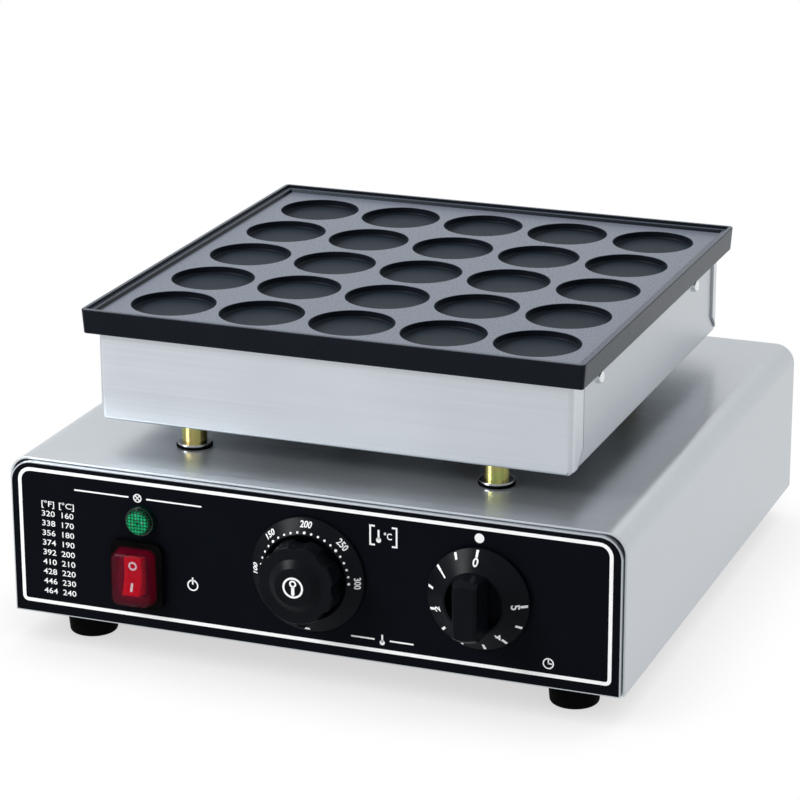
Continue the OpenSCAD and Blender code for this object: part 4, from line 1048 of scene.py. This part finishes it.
class GRIDDLE_OT_timer_dial(bpy.types.Operator):
    """Minutes printed on the skirt of the timer knob"""

    bl_idname = "griddle.timer_dial"
    bl_label = "Timer dial"

    # Radius, height and slope at the foot of the skirt's cone
    CONE = (29.5 * MM, 2.6 * MM, 7.9 / 11.5)
    # Radii of the ticks and the numbers
    TICKS, NUMBERS = 27.0 * MM, 22.7 * MM
    HALF_MINUTE = math.radians(27.0)

    def execute(self, context):
        dial = context.scene.griddle_dial
        bm = bmesh.new()
        for half in range(11):
            angle = -half * self.HALF_MINUTE
            minute, odd = divmod(half, 2)
            mark = slab_mesh(1.4 * MM, dial.tick, 0.2 * MM, CONE_INK, SUNK_FLAT)
            add_mesh(bm, wrap_on_cone(mark, self.TICKS, angle, self.CONE))
            if not odd:
                mark = lettering(str(minute), dial.minute, CONE_INK, SUNK_FLAT, squeeze=0.95, bold=0.02)
                add_mesh(bm, wrap_on_cone(mark, self.NUMBERS, angle, self.CONE))
        printed("timer_scale", bm, "black_plastic", "timer", place=on_panel(TIMER))
        return {"FINISHED"}


class GRIDDLE_OT_switch(bpy.types.Operator):
    """Soft clear boot over the rocker, the rocker and its on and off marks"""

    bl_idname = "griddle.switch"
    bl_label = "Switch"

    # The rocker's axis stands this far out of the film, and at rest the rocker is tilted to its off side
    AXIS = 1.5 * MM
    TILT = Matrix.Translation((0, 0, AXIS)) @ Matrix.Rotation(math.radians(-9), 4, "X")
    # Half length of the rocker, height of its ends, depth of its hollow and of its root
    END, FACE, DIP, ROOT = 11.0 * MM, 8.3 * MM, 2.2 * MM, 4.5 * MM
    HOLLOW_ROUND, EDGE_ROUND = 3.2 * MM, 0.7 * MM
    # Radius of the pivot pins and how far they stand out
    PIN, PIVOT = 1.5 * MM, 1.4 * MM
    # Distance of the marks from the middle
    MARK = 6.2 * MM
    # How much smaller the boot's top is, and how round its edge
    TAPER = (0.93, 0.945, 1.0)
    BOOT_ROUND = 2.6 * MM

    def execute(self, context):
        NODES["switch_housing"].material_slots[0].material = dull_nylon()
        self.rocker()
        self.marks()
        self.boot(context.scene.griddle_switch)
        return {"FINISHED"}

    def rocker(self):
        bm = bmesh.new()
        low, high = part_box("switch_rocker")
        reach = (high.x - low.x) / 2
        half = reach - self.PIVOT
        foot = [(-self.END, 0), (-self.PIN, -self.ROOT), (self.PIN, -self.ROOT), (self.END, 0)]
        crest = [(self.END, self.FACE), (0, self.FACE - self.DIP), (-self.END, self.FACE)]
        side = bm.faces.new([bm.verts.new((-half, y, z)) for y, z in foot + crest])
        side.normal_update()
        raised(bm, [side], (2 * half, 0, 0))
        tidy_normals(bm)
        hollow = [e for e in bm.edges if all(abs(v.co.y) < 0.1 * MM and v.co.z > 0 for v in e.verts)]
        rounded(bm, hollow, self.HOLLOW_ROUND, 6)
        sharp = [e for e in bm.edges if e.is_manifold and e.calc_face_angle() > math.radians(40)]
        rounded(bm, sharp, self.EDGE_ROUND, 3, clamp=True)
        pin = bmesh.new()
        lathe(pin, [(0, -reach), (self.PIN, -reach), (self.PIN, reach), (0, reach)], 32)
        bmesh.ops.rotate(pin, matrix=Matrix.Rotation(math.radians(90), 3, "Y"), verts=pin.verts)
        add_mesh(bm, sealed(pin, Matrix()))
        tilted = on_panel(SWITCH) @ self.TILT
        piece("rocker_body", bm, "red_plastic", "rocker", ("switch_rocker",), place=tilted)

    def marks(self):
        bm = bmesh.new()
        slope = self.DIP / self.END
        height = self.FACE - self.DIP + self.MARK * slope
        for side, mesh in (
            (1, ring_mesh(2.6 * MM, 1.6 * MM, INK, Matrix())),
            (-1, slab_mesh(1.3 * MM, 4.8 * MM, 0.3 * MM, INK, Matrix())),
        ):
            lean = Matrix.Rotation(side * math.atan(slope), 4, "X")
            mesh.transform(self.TILT @ Matrix.Translation((0, side * self.MARK, height)) @ lean)
            add_mesh(bm, mesh)
        printed("rocker_marks", bm, "red_plastic", "rocker", place=on_panel(SWITCH))

    def boot(self, settings):
        bm = bmesh.new()
        low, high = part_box("switch_boot")
        size = high - low
        base = new_plate(bm, size.x, size.z, BOOT_CORNER)
        bmesh.ops.scale(bm, vec=self.TAPER, verts=raised(bm, [base], (0, 0, size.y), keep=False))
        floor = [f for f in bm.faces if all(v.co.z < 0.1 * MM for v in f.verts)]
        bmesh.ops.delete(bm, geom=floor, context="FACES_ONLY")
        top = [e for e in bm.edges if all(v.co.z > size.y - 0.1 * MM for v in e.verts)]
        rounded(bm, top, self.BOOT_ROUND, 5, clamp=True)
        bmesh.ops.recalc_face_normals(bm, faces=bm.faces)
        bmesh.ops.solidify(bm, geom=bm.faces[:], thickness=settings.wall)
        seat = on_panel(SWITCH, FILM_Y - high.y)
        piece("switch_cap", bm, "red_boot", "chassis", ("switch_boot",), place=seat)


class GRIDDLE_OT_lamp(bpy.types.Operator):
    """Faceted green lens of the lamp"""

    bl_idname = "griddle.lamp"
    bl_label = "Lamp"

    # Height and width of the domed edge, the room left for the prisms and their own height
    DOME_HEIGHT, DOME_WIDTH, ROOM, PRISM_HEIGHT = 2.4 * MM, 1.7 * MM, 0.3 * MM, 0.28 * MM
    DOME_ROWS = 6

    def execute(self, context):
        bm = bmesh.new()
        low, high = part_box("lamp_lens")
        rim = (high.x - low.x) / 2
        top = FILM_Y - low.y
        seat = FILM_Y - high.y
        shoulder = top - self.DOME_HEIGHT
        crown = rim - self.DOME_WIDTH
        level = top - self.ROOM
        quarter = [math.radians(90 * row / self.DOME_ROWS) for row in range(self.DOME_ROWS + 1)]
        rise = level - shoulder
        dome = [(crown + self.DOME_WIDTH * math.cos(a), shoulder + rise * math.sin(a)) for a in quarter]
        flat = [(crown * share, level) for share in (0.8, 0.6, 0.4, 0.2, 0.0)]
        lathe(bm, [(0, seat), (rim, seat)] + dome + flat, 24)
        front = [f for f in bm.faces if f.calc_center_median().z > shoulder]
        bmesh.ops.poke(bm, faces=front, offset=self.PRISM_HEIGHT, center_mode="MEAN_WEIGHTED")
        piece("lamp_prisms", bm, "green_lens", "chassis", ("lamp_lens",), crease=6.0, place=on_panel(LAMP))
        NODES["lamp_bezel"].material_slots[0].material = green_collar()
        return {"FINISHED"}


class GRIDDLE_PT_panel(bpy.types.Panel):
    """Lists the pieces and their settings"""

    bl_idname = "GRIDDLE_PT_panel"
    bl_label = "Griddle"
    bl_space_type = "VIEW_3D"
    bl_region_type = "UI"
    bl_category = "Griddle"

    def draw(self, context):
        for operator in OPERATORS:
            self.layout.operator(operator.bl_idname)
        for name, group in GROUPS.items():
            box = self.layout.box()
            for key in group.__annotations__:
                box.prop(getattr(context.scene, name), key)


OPERATORS = (
    GRIDDLE_OT_stage,
    GRIDDLE_OT_metalwork,
    GRIDDLE_OT_inside,
    GRIDDLE_OT_plastics,
    GRIDDLE_OT_panel_print,
    GRIDDLE_OT_temperature_dial,
    GRIDDLE_OT_timer_dial,
    GRIDDLE_OT_switch,
    GRIDDLE_OT_lamp,
)
CLASSES = (*GROUPS.values(), *OPERATORS, GRIDDLE_PT_panel)


def register():
    for cls in CLASSES:
        bpy.utils.register_class(cls)
    for name, group in GROUPS.items():
        setattr(bpy.types.Scene, name, PointerProperty(type=group))


def unregister():
    for name in GROUPS:
        delattr(bpy.types.Scene, name)
    for cls in reversed(CLASSES):
        bpy.utils.unregister_class(cls)


def main():
    """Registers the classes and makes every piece."""
    register()
    bpy.ops.griddle.stage()
    bpy.ops.griddle.metalwork()
    bpy.ops.griddle.inside()
    bpy.ops.griddle.plastics()
    bpy.ops.griddle.panel_print()
    bpy.ops.griddle.temperature_dial()
    bpy.ops.griddle.timer_dial()
    bpy.ops.griddle.switch()
    bpy.ops.griddle.lamp()


if __name__ == "__main__":
    main()
